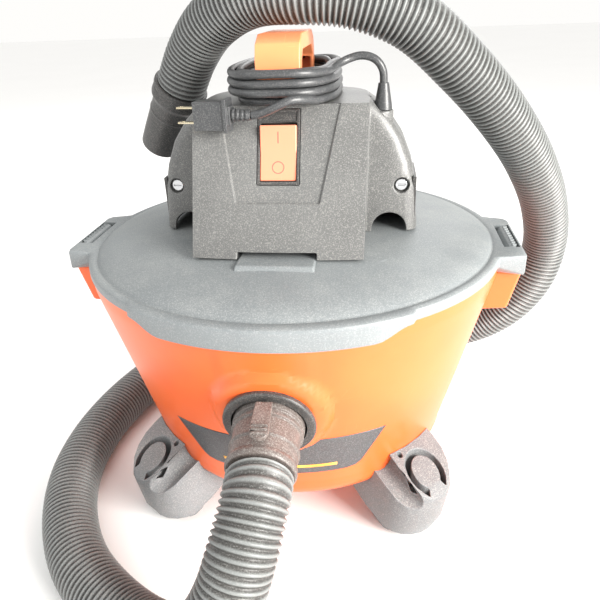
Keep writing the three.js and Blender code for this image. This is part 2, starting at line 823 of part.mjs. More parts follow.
function sideGrille() {
  const x0 = coverWidth / 2 - 6;
  const x1 = coverWidth / 2 - 2.5;
  const y0 = -36 + touchGap;
  const y1 = -36 + grilleLength - touchGap;
  const z0 = coverBottom + 12 + touchGap;
  const z1 = z0 + grilleHeight - 2 * touchGap;
  const frame = block(x0, x1, y0, y1, z0, z1);
  const slots = [];
  for (let i = 0; i < 6; i += 1) {
    const z = z0 + 4.5 + i * 6;
    slots.push(block(x0 - 5, x1 + 5, y0 + 4, y1 - 4, z, z + 3));
  }
  return cut(frame, ...slots);
}

function switchBezel() {
  const body = block(-bezelWidth / 2, bezelWidth / 2, bezelCentre - bezelLength / 2,
    bezelCentre + bezelLength / 2, -16, 1.2);
  const well = block(-rockerWidth / 2 - runGap, rockerWidth / 2 + runGap,
    rockerCentre - rockerLength / 2 - 1.6, rockerCentre + rockerLength / 2 + 1.6, -14, 10);
  const strip = block(-rockerWidth / 2, rockerWidth / 2, rockerCentre + rockerLength / 2 + 3.4,
    bezelCentre + bezelLength / 2 - 2, 0, 10);
  return onPanel(cut(body, well, strip));
}

function rocker() {
  const half = rockerLength / 2;
  const side = [[-half, 1], [-6, -4], [6, -4], [half, 1], [half, 7], [0, 4.6], [-half, 7]];
  const paddle = profileAlongX(side, -rockerWidth / 2, rockerWidth / 2);
  return onPanel(paddle.rotateX(rad(rockerTilt)).translate(0, rockerCentre, rockerPivotDepth));
}

// ---------------------------------------------------------------- handle and cord

function carryHandle() {
  const outerY = handleHalfLength;
  const innerY = handleHalfLength - handlePost;
  const top = handleBase + handleHeight - touchGap;
  const under = top - handlePost;
  const corner = 20;
  const arch = [
    [-outerY, handleBase],
    [-outerY, top - corner],
    [-outerY + 5, top - 7],
    [-outerY + corner, top],
    [outerY - corner, top],
    [outerY - 5, top - 7],
    [outerY, top - corner],
    [outerY, handleBase],
    [innerY - 12, handleBase],
    [innerY - 12, handleBase + 4],
    [innerY, handleBase + 4],
    [innerY, under - 10],
    [innerY - 10, under],
    [10 - innerY, under],
    [-innerY, under - 10],
    [-innerY, handleBase + 4],
    [12 - innerY, handleBase + 4],
    [12 - innerY, handleBase],
  ];
  const half = handleWidth / 2;
  const body = profileAlongX(arch, -half, half);
  const lip = block(-half + 5, half - 5, -outerY - 3.5, -outerY + 2, handleBase + 6, handleBase + 25);
  const channelHalf = half - handleSkin;
  const postTop = under - 12;
  const channel = [-1, 1].map((end) => {
    const from = end * (outerY - handleSkin);
    const to = end * (innerY - 1);
    return block(-channelHalf, channelHalf, Math.min(from, to), Math.max(from, to), handleBase + 8, postTop);
  });
  const gripChannel = block(-channelHalf, channelHalf, 14 - innerY, innerY - 14, under - 1, top - handleSkin);
  const ribs = [];
  for (let i = -2; i <= 2; i += 1) {
    ribs.push(block(-channelHalf - 1, channelHalf + 1, i * 13 - 1, i * 13 + 1, under, top - 2));
  }
  const screwHoles = [-1, 1].map((end) => rod(2.5, handleBase - 2, handleBase + 10, 12)
    .translate(0, end * (handleHalfLength - 20), 0));
  const hollow = cut(join(body, lip), ...channel, gripChannel);
  return cut(join(hollow, ...ribs), ...screwHoles);
}

function handleScrew(end) {
  const seat = handleBase + 4 + touchGap;
  const screw = join(rod(5, seat, seat + 3, 18), rod(2.2, coverTopZ - 13, seat + 0.5, 12));
  const slot = block(-3.6, 3.6, -0.6, 0.6, seat + 1.8, seat + 4);
  return cut(screw, slot).translate(0, end * (handleHalfLength - 20), 0);
}

function strainRelief() {
  const base = coverTopZ - glandDrop;
  return turned([
    [cordRadius + touchGap, base - 22],
    [glandRadius, base - 22],
    [glandRadius, base + touchGap],
    [glandRadius + 2.5, base + touchGap],
    [glandRadius + 2, base + 5],
    [cordRadius + 1.2, base + 24],
    [cordRadius + touchGap, base + 24],
  ], 20).translate(glandX, glandY, 0);
}

const leadPoints = [
  [92, -24, 414],
  [92, -24, 440],
  [91, -25, 449],
  [86, -26, 457],
  [79, -26, 461],
  [71, -25, 460],
  [64, -24.5, 455],
];

const tailPoints = [
  [-19.8, -87.8, 422.6],
  [-12, -89.5, 424],
  [-3, -92, 427.5],
  [6, -93.5, 432],
  [15, -93, 436],
];

const hosePoints = [
  [0, -252.3, 171.1],
  [0, -269.8, 166.7],
  [-6, -298, 143],
  [-16, -316, 112],
  [-34, -322, 79],
  [-62, -316, 50],
  [-100, -298, 33],
  [-145, -271, 28.3],
  [-190, -233, 28],
  [-226, -180, 28],
  [-249, -118, 28],
  [-256, -52, 28],
  [-249, 18, 28],
  [-228, 88, 28],
  [-188, 158, 28],
  [-130, 212, 28],
  [-60, 242, 28],
  [20, 250, 28],
  [100, 244, 30],
  [172, 226, 42],
  [232, 202, 68],
  [276, 186, 108],
  [303, 178, 156],
  [311, 172, 208],
  [297, 148, 268],
  [264, 108, 332],
  [219, 66, 392],
  [168, 33, 446],
  [116, 12, 490],
  [62, 3, 511],
  [14, 3, 516.5],
  [-36, 19, 514],
  [-82, 46, 493],
  [-113, 69, 462],
  [-133, 83, 430],
];

function hose() {
  return sweptTube(hosePoints, hoseRadius, hoseBore, 5, 40);
}

// Turns a shape built round +Z so that it leads on from the hose's free end.
function atHoseEnd(geometry) {
  const [before, end] = hosePoints.slice(-2).map((p) => new THREE.Vector3(...p));
  const heading = end.clone().sub(before).normalize();
  const turn = new THREE.Quaternion().setFromUnitVectors(new THREE.Vector3(0, 0, 1), heading);
  return geometry.applyQuaternion(turn).translate(end.x, end.y, end.z);
}

function hoseEndCuff() {
  return atHoseEnd(turned([
    [hoseBore - 1, touchGap + 1],
    [hoseRadius + 3, touchGap + 1],
    [hoseRadius + 3, 6],
    [hoseRadius + 1, 8],
    [hoseRadius + 2.5, 20],
    [hoseRadius - 2, 26],
    [hoseRadius - 4.5, endCuffLength],
    [hoseBore - 1, endCuffLength],
  ], 24));
}

function cordCoil() {
  const middle = 60;
  const half = coilBand / 2;
  const low = handleBase;
  const high = handleBase + coilHeight;
  const soft = 6;
  const band = turned([
    [middle - half, low + soft],
    [middle - half + soft, low],
    [middle + half - soft, low],
    [middle + half, low + soft],
    [middle + half, high - soft],
    [middle + half - soft, high],
    [middle - half + soft, high],
    [middle - half, high - soft],
  ], 32);
  return reshaped(band, (p) => {
    const reach = Math.hypot(p.x, p.y);
    const offset = reach - middle;
    const across = Math.round(p.x / reach * 1e6) / 1e6;
    const along = Math.round(p.y / reach * 1e6) / 1e6;
    const x = Math.sign(across) * Math.abs(across) ** coilSquareness * (coilHalfX + offset);
    const y = Math.sign(along) * Math.abs(along) ** coilSquareness * (coilHalfY + offset);
    return [x, y, p.z];
  });
}

function lead() {
  return sweptTube(leadPoints, cordRadius, 0, 4, 20);
}

function tail() {
  return sweptTube(tailPoints, cordRadius, 0, 4, 12);
}

function atPlug(geometry) {
  return geometry.rotateZ(-rad(plugYaw)).translate(...plugOrigin);
}

// Body, grip flange and ribbed strain relief; the blades point to -X.
function plug() {
  const half = plugWidth / 2;
  const body = block(-plugLength - 4, -8, -8, 8, -half, half);
  const waist = block(-10, -2, -6, 6, -half + 4, half - 4);
  const flange = block(-8, -4.5, -9, 9, -half - 2, half + 2);
  const relief = [rodAlongX(4.4, -3, 15, 12)];
  for (let i = 0; i < 4; i += 1) {
    relief.push(rodAlongX(6 - i * 0.3, -1 + i * 4, 1 + i * 4, 12));
  }
  const bore = rodAlongX(cordRadius - 0.4, 2, 20, 12);
  const bladeSlots = [-1, 1].map((side) => block(-plugLength - 6, -plugLength + 8, -3.6, 3.6,
    side * bladePitch / 2 - bladeGauge / 2 - touchGap, side * bladePitch / 2 + bladeGauge / 2 + touchGap));
  return atPlug(cut(join(body, waist, flange, ...relief), bore, ...bladeSlots));
}

function plugBlade(side) {
  const z = side * bladePitch / 2;
  const blade = block(-plugLength - 21, -plugLength + 7, -3.2, 3.2, z - bladeGauge / 2, z + bladeGauge / 2);
  const eye = rod(1.6, z - 3, z + 3, 10).translate(-plugLength - 17, 0, 0);
  return atPlug(cut(blade, eye));
}

// ---------------------------------------------------------------- motor and blower

function blowerHousing() {
  const collar = bearingRadius + touchGap;
  const shell = turned([
    [28, blowerBottom],
    [blowerRadius, blowerBottom],
    [blowerRadius, blowerTop],
    [collar, blowerTop],
    [collar, blowerTop - bearingHeight - touchGap],
    [bearingRadius - 3, blowerTop - bearingHeight - touchGap],
    [bearingRadius - 3, blowerTop - bearingHeight - 3],
    [collar + 4, blowerTop - bearingHeight - 3],
    [collar + 4, blowerTop - blowerWall],
    [blowerRadius - blowerWall, blowerTop - blowerWall],
    [blowerRadius - blowerWall, blowerBottom + blowerWall],
    [28, blowerBottom + blowerWall],
  ], 24);
  const outlet = block(-18, 18, blowerRadius - 20, blowerRadius + 5, blowerBottom + 6, blowerTop - 8);
  return cut(shell, outlet);
}

function impeller() {
  const low = blowerBottom + 7;
  const high = blowerTop - bearingHeight - 3 - 4;
  const hub = turned([
    [shaftRadius + 0.3, low - 1],
    [shaftRadius + 5, low - 1],
    [shaftRadius + 9, high - 2],
    [impellerRadius, high - 2],
    [impellerRadius, high],
    [shaftRadius + 0.3, high],
  ], 20);
  const shroud = turned([[30, low], [impellerRadius, low + 6], [impellerRadius, low + 8], [30, low + 2]], 20);
  const vanes = [];
  for (let i = 0; i < 7; i += 1) {
    vanes.push(block(24, impellerRadius - 2, -0.8, 0.8, low + 6.5, high - 1)
      .rotateZ(rad(25)).translate(-3, -12, 0).rotateZ(i * 2 * Math.PI / 7));
  }
  return join(hub, shroud, ...vanes);
}

function impellerNut() {
  return cut(rod(8, blowerBottom + 1, blowerBottom + 5.7, 6), rod(shaftRadius + touchGap, 0, 500, 12));
}

function motorHousing() {
  const seat = bearingRadius + touchGap;
  const stack = armatureRadius + 1.2;
  const shell = turned([
    [motorRadius - 3, motorBottom],
    [motorRadius, motorBottom],
    [motorRadius, motorTop],
    [seat, motorTop],
    [seat, motorTop - bearingHeight - touchGap],
    [bearingRadius - 3, motorTop - bearingHeight - touchGap],
    [bearingRadius - 3, motorTop - bearingHeight - 3],
    [motorRadius - 3, motorTop - bearingHeight - 3],
    [motorRadius - 3, motorBottom + 44],
    [stack, motorBottom + 44],
    [stack, motorBottom + 12],
    [motorRadius - 3, motorBottom + 12],
  ], 20);
  const lowHoles = [0, 1].map((i) => block(-60, 60, -12, 12, motorBottom + 3, motorBottom + 9)
    .rotateZ(rad(45) + i * Math.PI / 2));
  return cut(shell, ...lowHoles);
}

function armature() {
  return turned([
    [0, blowerBottom - 2],
    [shaftRadius, blowerBottom - 2],
    [shaftRadius, motorBottom + 8],
    [armatureRadius, motorBottom + 12],
    [armatureRadius, motorBottom + 40],
    [12, motorBottom + 42],
    [12, motorBottom + 48],
    [shaftRadius, motorBottom + 48],
    [shaftRadius, motorTop + 11],
    [0, motorTop + 11],
  ], 16);
}

function bearing(bottom) {
  return ring(bearingRadius, shaftRadius + touchGap, bottom, bottom + bearingHeight - touchGap, 14);
}

function coolingFan() {
  const low = motorTop + 2.5;
  const high = low + 6;
  const hub = ring(8, shaftRadius + touchGap, low, high, 12);
  const disc = ring(fanRadius, 7, low, low + 1.2, 16);
  const blades = [];
  for (let i = 0; i < 6; i += 1) {
    blades.push(block(7, fanRadius - 1, -0.7, 0.7, low + 0.5, high).rotateZ(i * Math.PI / 3));
  }
  return join(hub, disc, ...blades);
}

// ---------------------------------------------------------------- filter and float

function filterCage() {
  const shell = turned([
    [0, cageBottom],
    [cageRadius, cageBottom],
    [cageRadius, cageTop - 3],
    [cageRadius + 9, cageTop - 3],
    [cageRadius + 9, cageTop],
    [floatSeat, cageTop],
    [floatSeat, cageTop - 3],
    [cageRadius - cageWall, cageTop - 3],
    [cageRadius - cageWall, cageBottom + cageWall],
    [0, cageBottom + cageWall],
  ], 20);
  const windows = [];
  for (let i = 0; i < 4; i += 1) {
    windows.push(block(-cageRadius - 10, cageRadius + 10, -9, 9, cageBottom + 12, cageTop - 16)
      .rotateZ(i * Math.PI / 4));
  }
  const guides = [];
  for (let i = 0; i < 4; i += 1) {
    guides.push(block(floatRadius + 1.5, cageRadius - 1, -1.2, 1.2, cageBottom + 1, cageBottom + 11)
      .rotateZ(rad(22.5) + i * Math.PI / 2));
  }
  const stud = rod(studRadius, cageBottom - 22, cageBottom + 1, 14);
  return join(cut(shell, ...windows), ...guides, stud);
}

function floatBall() {
  return new THREE.SphereGeometry(floatRadius, 14, 9)
    .translate(0, 0, cageBottom + cageWall + floatRadius + touchGap);
}

function filterCartridge() {
  const pleats = 24;
  const outline = new THREE.Shape();
  for (let i = 0; i < pleats * 2; i += 1) {
    const angle = (i / (pleats * 2)) * Math.PI * 2;
    const reach = i % 2 === 0 ? cartridgeRadius : cartridgeRadius - 7;
    const at = [reach * Math.cos(angle), reach * Math.sin(angle)];
    if (i === 0) outline.moveTo(...at);
    else outline.lineTo(...at);
  }
  const hole = new THREE.Path();
  hole.absarc(0, 0, cageRadius + 5, 0, Math.PI * 2, true);
  outline.holes.push(hole);
  const top = cageTop - 3 - touchGap;
  const pleated = extruded(outline, cageBottom + 5, top - 5, 9);
  const lowCap = ring(cartridgeRadius + 1, cageRadius + touchGap + 0.6, cageBottom, cageBottom + 6, 24);
  const highCap = ring(cartridgeRadius + 1, cageRadius + touchGap + 0.6, top - 6, top, 24);
  return join(pleated, lowCap, highCap);
}

function filterEndPlate() {
  const top = cageBottom - touchGap;
  return turned([
    [studRadius + touchGap, top - filterPlate],
    [30, top - filterPlate],
    [cartridgeRadius, top - 3],
    [cartridgeRadius, top],
    [studRadius + touchGap, top],
  ], 24);
}

function filterNut() {
  const top = cageBottom - 2 * touchGap - filterPlate;
  const hub = ring(15, studRadius + touchGap, top - 12, top, 14);
  const wings = [0, 1].map((i) => block(10, 26, -3, 3, top - 12, top - 3).rotateZ(i * Math.PI));
  const clearHole = rod(studRadius + touchGap, top - 20, top + 5, 14);
  return cut(join(hub, ...wings), clearHole);
}

// ---------------------------------------------------------------- assembly

place('drum', tank(), finishes.tank());
place('inlet_port', inletPort(), finishes.black());
place('hose_inlet_cuff', inletCuff(), finishes.black());
place('lock_tab', lockTab(), finishes.black());
place('hose', hose(), finishes.hose());
place('hose_end_cuff', hoseEndCuff(), finishes.black());

const corners = [
  ['front_right', 1, 1],
  ['front_left', -1, 1],
  ['rear_right', 1, -1],
  ['rear_left', -1, -1],
];
corners.forEach(([name, across, along]) => {
  place(`caster_foot_${name}`, casterFoot(), finishes.foot()).scale.set(across, along, 1);
  place(`caster_fork_${name}`, casterFork(), finishes.black()).scale.set(across, along, 1);
  place(`caster_axle_${name}`, casterAxle(), finishes.steel()).scale.set(across, along, 1);
  place(`caster_wheel_${name}`, casterWheel(), finishes.black()).scale.set(across, along, 1);
});

place('lid', lid(), finishes.lid());
place('lid_gasket', lidGasket(), finishes.rubber());
[['right', 1], ['left', -1]].forEach(([name, across]) => {
  place(`latch_${name}`, latch(), finishes.cover()).scale.set(across, 1, 1);
  place(`latch_pin_${name}`, latchPin(), finishes.steel()).scale.set(across, 1, 1);
  place(`side_grille_${name}`, sideGrille(), finishes.black()).scale.set(across, 1, 1);
});

place('motor_cover', motorCover(), finishes.cover());
screwSpots.forEach(([name, x, faceY, facing]) => {
  place(name, coverScrew(x, faceY, facing), finishes.steel());
});
place('switch_bezel', switchBezel(), finishes.black());
place('rocker', rocker(), finishes.trim());
place('carry_handle', carryHandle(), finishes.trim());
place('handle_screw_front', handleScrew(-1), finishes.steel());
place('handle_screw_rear', handleScrew(1), finishes.steel());
place('strain_relief', strainRelief(), finishes.rubber());
place('power_cord', lead(), finishes.rubber());
place('cord_coil', cordCoil(), finishes.rubber());
place('cord_tail', tail(), finishes.rubber());
place('plug', plug(), finishes.rubber());
place('plug_blade_upper', plugBlade(1), finishes.brass());
place('plug_blade_lower', plugBlade(-1), finishes.brass());

place('blower_housing', blowerHousing(), finishes.black());
place('impeller', impeller(), finishes.steel());
place('impeller_nut', impellerNut(), finishes.steel());
place('motor_housing', motorHousing(), finishes.steel());
place('armature', armature(), finishes.steel());
place('bearing_lower', bearing(blowerTop - bearingHeight), finishes.steel());
place('bearing_upper', bearing(motorTop - bearingHeight), finishes.steel());
place('cooling_fan', coolingFan(), finishes.black());

place('filter_cage', filterCage(), finishes.black());
place('float_ball', floatBall(), finishes.white());
place('filter_cartridge', filterCartridge(), finishes.paper());
place('filter_plate', filterEndPlate(), finishes.black());
place('filter_nut', filterNut(), finishes.black());

export default group;
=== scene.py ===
# %% [markdown]
# # A wet and dry shop vacuum
# The vacuum is a tapered tank on four caster feet, a latched lid that carries the power head, a carry
# handle with the mains cord wound round it, and a long ribbed hose that lies round the tank and over
# the top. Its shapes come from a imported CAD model, which stays fixed. This lesson gives the parts
# rounded edges, builds the ribbed hose, the wound cord and the cuffs as fine meshes, and paints
# everything with worn, dusty plastic.

import json
import math

import bmesh
import bpy
import numpy as np
from mathutils import Matrix, Vector


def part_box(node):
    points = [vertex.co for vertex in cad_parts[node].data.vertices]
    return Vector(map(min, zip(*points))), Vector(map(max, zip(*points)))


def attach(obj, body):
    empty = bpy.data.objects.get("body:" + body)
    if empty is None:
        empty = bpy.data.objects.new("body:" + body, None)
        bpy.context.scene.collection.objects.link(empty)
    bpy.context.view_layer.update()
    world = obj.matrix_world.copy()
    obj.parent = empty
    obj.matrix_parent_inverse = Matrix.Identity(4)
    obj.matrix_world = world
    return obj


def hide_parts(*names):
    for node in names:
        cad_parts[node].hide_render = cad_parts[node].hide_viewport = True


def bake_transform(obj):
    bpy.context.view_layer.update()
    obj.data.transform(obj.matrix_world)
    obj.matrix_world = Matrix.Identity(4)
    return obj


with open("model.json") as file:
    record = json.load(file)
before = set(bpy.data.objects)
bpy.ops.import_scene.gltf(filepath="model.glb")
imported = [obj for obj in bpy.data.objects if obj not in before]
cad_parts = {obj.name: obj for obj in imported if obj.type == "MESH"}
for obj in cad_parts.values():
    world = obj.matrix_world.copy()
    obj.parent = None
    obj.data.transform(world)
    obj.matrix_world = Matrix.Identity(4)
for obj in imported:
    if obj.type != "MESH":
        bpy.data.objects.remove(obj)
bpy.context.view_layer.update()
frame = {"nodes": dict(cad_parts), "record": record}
nodes = frame["nodes"]
mm = 0.001
print("parts in the frame:", len(nodes))

# %% [markdown]
# ## The camera
# The camera comes first, because it decides what the hose and the cord hide. It stands in front of the
# vacuum, a little to the right, and looks down on it. A turn, a dip and a roll give the three
# directions of its own axes, which are the columns of its rotation.

# %% Camera
camera_place = Vector((0.0873, -0.6112, 0.5072))
camera_turn = -0.137
camera_dip = 0.459
camera_roll = -0.040

ahead = Vector((
    math.sin(camera_turn) * math.cos(camera_dip),
    math.cos(camera_turn) * math.cos(camera_dip),
    -math.sin(camera_dip),
))
level = Vector((math.cos(camera_turn), -math.sin(camera_turn), 0))
upright = level.cross(ahead)
camera_right = level * math.cos(camera_roll) + upright * math.sin(camera_roll)
camera_up = upright * math.cos(camera_roll) - level * math.sin(camera_roll)

camera = bpy.data.objects.new("camera", bpy.data.cameras.new("camera"))
bpy.context.scene.collection.objects.link(camera)
axes = Matrix((camera_right, camera_up, -ahead)).transposed().to_4x4()
camera.matrix_world = Matrix.Translation(camera_place) @ axes
camera.data.lens = 36
camera.data.sensor_width = 36
bpy.context.scene.camera = camera
bpy.context.scene.view_settings.view_transform = "Standard"
print("camera looks along", [round(x, 3) for x in ahead])

# %% [markdown]
# ## Routes for the hose and the cord
# A hose or a cord is one smooth line with a section carried along it. The points of the
# line are the ones that the CAD solid follows. A centripetal spline goes through them without
# loops, and is then cut into even steps, so that ribs come out evenly spaced.

# %% A smooth line through points
def even_steps(line, spacing):
    """The same line with points a fixed distance apart."""
    along = np.concatenate([[0], np.cumsum(np.linalg.norm(np.diff(line, axis=0), axis=1))])
    count = max(2, round(along[-1] / spacing))
    places = np.linspace(0, along[-1], count + 1)
    return np.column_stack([np.interp(places, along, line[:, i]) for i in range(3)])


def between(start, end, start_knot, end_knot, knot):
    return (start * (end_knot - knot) + end * (knot - start_knot)) / (end_knot - start_knot)


def smooth_route(points, spacing):
    """A centripetal spline through the points, in even steps; points in mm, result in metres."""
    p = np.array(points, float) * mm
    p = np.vstack([2 * p[0] - p[1], p, 2 * p[-1] - p[-2]])
    line = []
    for i in range(1, len(p) - 2):
        spans = np.linalg.norm(np.diff(p[i - 1:i + 3], axis=0), axis=1) ** 0.5
        t = np.concatenate([[0], np.cumsum(spans)])
        for knot in np.linspace(t[1], t[2], 24, endpoint=False):
            first = between(p[i - 1], p[i], t[0], t[1], knot)
            middle = between(p[i], p[i + 1], t[1], t[2], knot)
            last = between(p[i + 1], p[i + 2], t[2], t[3], knot)
            first = between(first, middle, t[0], t[2], knot)
            last = between(middle, last, t[1], t[3], knot)
            line.append(between(first, last, t[1], t[2], knot))
    line.append(p[-2])
    return even_steps(np.array(line), spacing)


def carried_frames(route):
    """Two directions across the line at every point, carried along it without twisting."""
    forward = np.gradient(route, axis=0)
    forward /= np.linalg.norm(forward, axis=1)[:, None]
    side = np.cross(forward[0], (0.3, 0.2, 1))
    sides = []
    for direction in forward:
        side = side - direction * side.dot(direction)
        side /= np.linalg.norm(side)
        sides.append(side)
    sides = np.array(sides)
    return sides, np.cross(forward, sides)

# %% A mesh from rows of points
def link(name, mesh):
    made = bpy.data.objects.new(name, mesh)
    bpy.context.scene.collection.objects.link(made)
    return made


def mesh_piece(name, points, faces, smooth=True):
    mesh = bpy.data.meshes.new(name)
    mesh.from_pydata([tuple(p) for p in points], [], faces)
    mesh.validate()
    mesh.polygons.foreach_set("use_smooth", [smooth] * len(mesh.polygons))
    return link(name, mesh)


def tube(name, route, radii, sides, twist=0):
    """An open-ended tube. radii holds one radius for each step; twist winds them into a helix."""
    across, over = carried_frames(route)
    rows = len(route)
    index = np.arange(rows, dtype=float)

    def at_rows(values):
        return np.column_stack([np.interp(at, index, values[:, i]) for i in range(3)])

    points = np.empty((rows, sides, 3))
    crest = np.empty((rows, sides))
    for j in range(sides):
        at = np.clip(index + twist * j / sides, 0, rows - 1)
        turn = 2 * math.pi * j / sides
        away = at_rows(across) * math.cos(turn) + at_rows(over) * math.sin(turn)
        points[:, j] = at_rows(route) + away * radii[:, None]
        crest[:, j] = radii
    faces = []
    for i in range(rows - 1):
        for j in range(sides):
            here, there = i * sides + j, i * sides + (j + 1) % sides
            if j == sides - 1 and twist:
                if i + 1 + twist < rows:
                    next_low, next_high = (i + twist) * sides, (i + 1 + twist) * sides
                    faces.append((here, next_low, next_high, here + sides))
                continue
            faces.append((here, there, there + sides, here + sides))
    made = mesh_piece(name, points.reshape(-1, 3), faces)
    share = (crest - crest.min()) / max(1e-9, crest.max() - crest.min())
    attribute = made.data.attributes.new("crest", "FLOAT", "POINT")
    attribute.data.foreach_set("value", share.reshape(-1).astype(np.float32))
    return made

# %% [markdown]
# ## The ribbed hose
# The real hose is blown in one thin wall with a helical rib every five and a half millimetres. The
# section's radius goes from crest to groove and back in six steps, and the rows are twisted by one
# pitch a turn, so that the ribs form one long screw thread, as they do on the real hose. It leaves the
# inlet, lies round the tank on the floor, climbs behind it and comes over the handle.

# %% Hose
hose_points = [
    (0, -252.3, 171.1), (0, -269.8, 166.7), (-6, -298, 143), (-16, -316, 112), (-34, -322, 79),
    (-62, -316, 50), (-100, -298, 33), (-145, -271, 28.3), (-190, -233, 28), (-226, -180, 28),
    (-249, -118, 28), (-256, -52, 28), (-249, 18, 28), (-228, 88, 28), (-188, 158, 28),
    (-130, 212, 28), (-60, 242, 28), (20, 250, 28), (100, 244, 30), (172, 226, 42),
    (232, 202, 68), (276, 186, 108), (303, 178, 156), (311, 172, 208), (297, 148, 268),
    (264, 108, 332), (219, 66, 392), (168, 33, 446), (116, 12, 490), (62, 3, 511),
    (14, 3, 516.5), (-36, 19, 514), (-82, 46, 493), (-113, 69, 462), (-133, 83, 430),
]
hose_radius = 27.7 * mm
groove_depth = 2.6 * mm
rib_pitch = 5.6 * mm
steps_per_rib = 6
rib_shape = np.array([1, 1, 0.55, 0, 0, 0.55])

hose_route = smooth_route(hose_points, rib_pitch / steps_per_rib)
rib_share = rib_shape[np.arange(len(hose_route)) % steps_per_rib]
hose_radii = hose_radius - groove_depth * (1 - rib_share)
hose = tube("hose_ribbed", hose_route, hose_radii, 32, twist=steps_per_rib)
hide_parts("hose")

# %% [markdown]
# ## The wound cord
# The mains lead comes out of the gland on the right shoulder, rises in a small loop, is wound seven
# times round the posts of the carry handle and ends in its plug at the left front. The turns lie in
# two columns and four layers. Each turn changes to its next place a little before it would meet
# itself, so the strands never pass through each other.

# %% Cord
cord_radius = 3.6 * mm
coil_half_x, coil_half_y = 45, 79
coil_squareness = 0.7
coil_floor = 431.6
strand = 7.5
turn_travel = 2 * math.pi - 0.42
change_travel = 0.4
coil_start, coil_travel = -0.45, 14 * math.pi + 0.45
coil_places = [(1, 3), (0, 3), (0, 2), (1, 2), (1, 1), (0, 1), (0, 0), (1, 0), (1, 0)]
lead_points = [
    (92, -24, 425), (92, -24, 440), (91, -25, 450), (86, -26, 458), (79, -26, 462),
    (70, -25.5, 463), (61, -27, 461), (52, -33, 457.5),
]
tail_points = [
    (24, -84.5, 434), (15, -91, 434.5), (6, -93.5, 431.5), (-3, -92.5, 427.5), (-12, -89.8, 424),
    (-19.8, -87.8, 422.6),
]


def coil_point(travel):
    """Where the cord is after that much turning; the winding runs clockwise, seen from above."""
    turn = min(int(travel / turn_travel), len(coil_places) - 2)
    late = (travel - (turn + 1) * turn_travel + change_travel) / change_travel
    change = min(1, max(0, late))
    change = change * change * (3 - 2 * change)
    column, layer = (
        here + (there - here) * change
        for here, there in zip(coil_places[turn], coil_places[turn + 1])
    )
    angle = coil_start - travel
    wave = math.sin(3 * angle + 2 * layer) + 0.7 * math.sin(5 * angle + 3 * column)
    offset = (column - 0.5) * strand + 0.35 * wave
    across, along = math.cos(angle), math.sin(angle)
    x = math.copysign(abs(across) ** coil_squareness, across) * (coil_half_x + offset)
    y = math.copysign(abs(along) ** coil_squareness, along) * (coil_half_y + offset)
    return x, y, coil_floor + layer * strand * (1 + 0.02 * wave)


winding = [coil_point(travel) for travel in np.linspace(0, coil_travel, 34 * 7)]
cord_route = smooth_route(lead_points + winding + tail_points, 3.5 * mm)
cord = tube("mains_cord", cord_route, np.full(len(cord_route), cord_radius), 14)
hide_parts("power_cord", "cord_coil", "cord_tail")

# %% [markdown]
# ## Cuffs
# The hose is held at both ends by moulded cuffs. They are round, so each is a profile turned about
# its own axis. The profile holds the grip rings and rounded lips that the plain CAD cuffs leave out.

# %% Turned pieces
def turned(name, profile, place, axis, segments=72):
    """Turns (radius, distance along the axis) corners in mm about an axis from place."""
    along = Vector(axis).normalized()
    across = along.orthogonal().normalized()
    over = along.cross(across)
    points, faces = [], []
    count = len(profile)
    for j in range(segments):
        angle = 2 * math.pi * j / segments
        away = across * math.cos(angle) + over * math.sin(angle)
        points += [Vector(place) + along * (z * mm) + away * (r * mm) for r, z in profile]
    for j in range(segments):
        here, there = j * count, (j + 1) % segments * count
        for i in range(count):
            k = (i + 1) % count
            faces.append((here + i, here + k, there + k, there + i))
    return mesh_piece(name, points, faces)


def soften(piece, edge, angle=30, segments=2):
    """Rounds the edges of a piece and evens its shading, as a mould does."""
    rounding = piece.modifiers.new("rounded edges", "BEVEL")
    rounding.width = edge
    rounding.segments = segments
    rounding.limit_method = "ANGLE"
    rounding.angle_limit = math.radians(angle)
    rounding.use_clamp_overlap = False
    rounding.miter_outer = "MITER_ARC"
    shading = piece.modifiers.new("even shading", "WEIGHTED_NORMAL")
    shading.weight = 100
    return piece

# %% Inlet cuff and hose end cuff
tank_slope = math.atan(0.2524)
inlet_place = Vector((0, -0.19331, 0.186))
inlet_axis = Vector((0, -math.cos(tank_slope), -math.sin(tank_slope)))
hose_end = Vector(hose_points[-1]) * mm
hose_heading = (hose_end - Vector(hose_points[-2]) * mm).normalized()

inlet_cuff = soften(turned("hose_inlet_cuff_fine", [
    (21, -11), (25, -11), (25.4, -10), (25.4, 2.4), (31.3, 2.4), (31.3, 15.5), (29.4, 16.2),
    (29.4, 19), (31, 19.6), (31, 22.4), (29.2, 23), (28.9, 30), (28.7, 38), (30, 38.6),
    (30, 40.6), (28.7, 41.2), (28.5, 52), (29.6, 53.5), (30, 56), (29.6, 58.5), (28.4, 60), (21, 60),
], inlet_place, inlet_axis), 0.5 * mm)
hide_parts("hose_inlet_cuff")

end_cuff = soften(turned("hose_end_cuff_fine", [
    (20, 1.3), (29.5, 1.3), (30.6, 2.2), (30.7, 6), (29.6, 7.2), (29.2, 9), (29.9, 10.4),
    (30.2, 17), (29.6, 19.4), (27.2, 22.5), (26, 26), (25.6, 38), (26.2, 39), (26.2, 40.4),
    (25.5, 41.4), (24.4, 74), (23.4, 91), (22.6, 92), (20.8, 92), (20, 91),
], hose_end, hose_heading), 0.5 * mm)
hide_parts("hose_end_cuff")
print("cuffs turned about", [round(x, 2) for x in inlet_axis], [round(x, 2) for x in hose_heading])

# %% [markdown]
# ## Tank and lid
# The tank and the lid are round but not quite: the lid's skirt hangs lower at the front and the back,
# it steps out over the two latches, and the tank's wall swells round the inlet. A polar grid does
# this well. It is a stack of rings, and each ring is a function that gives a radius and a height for
# every direction.

# %% Rings into a shell
round_steps = 240


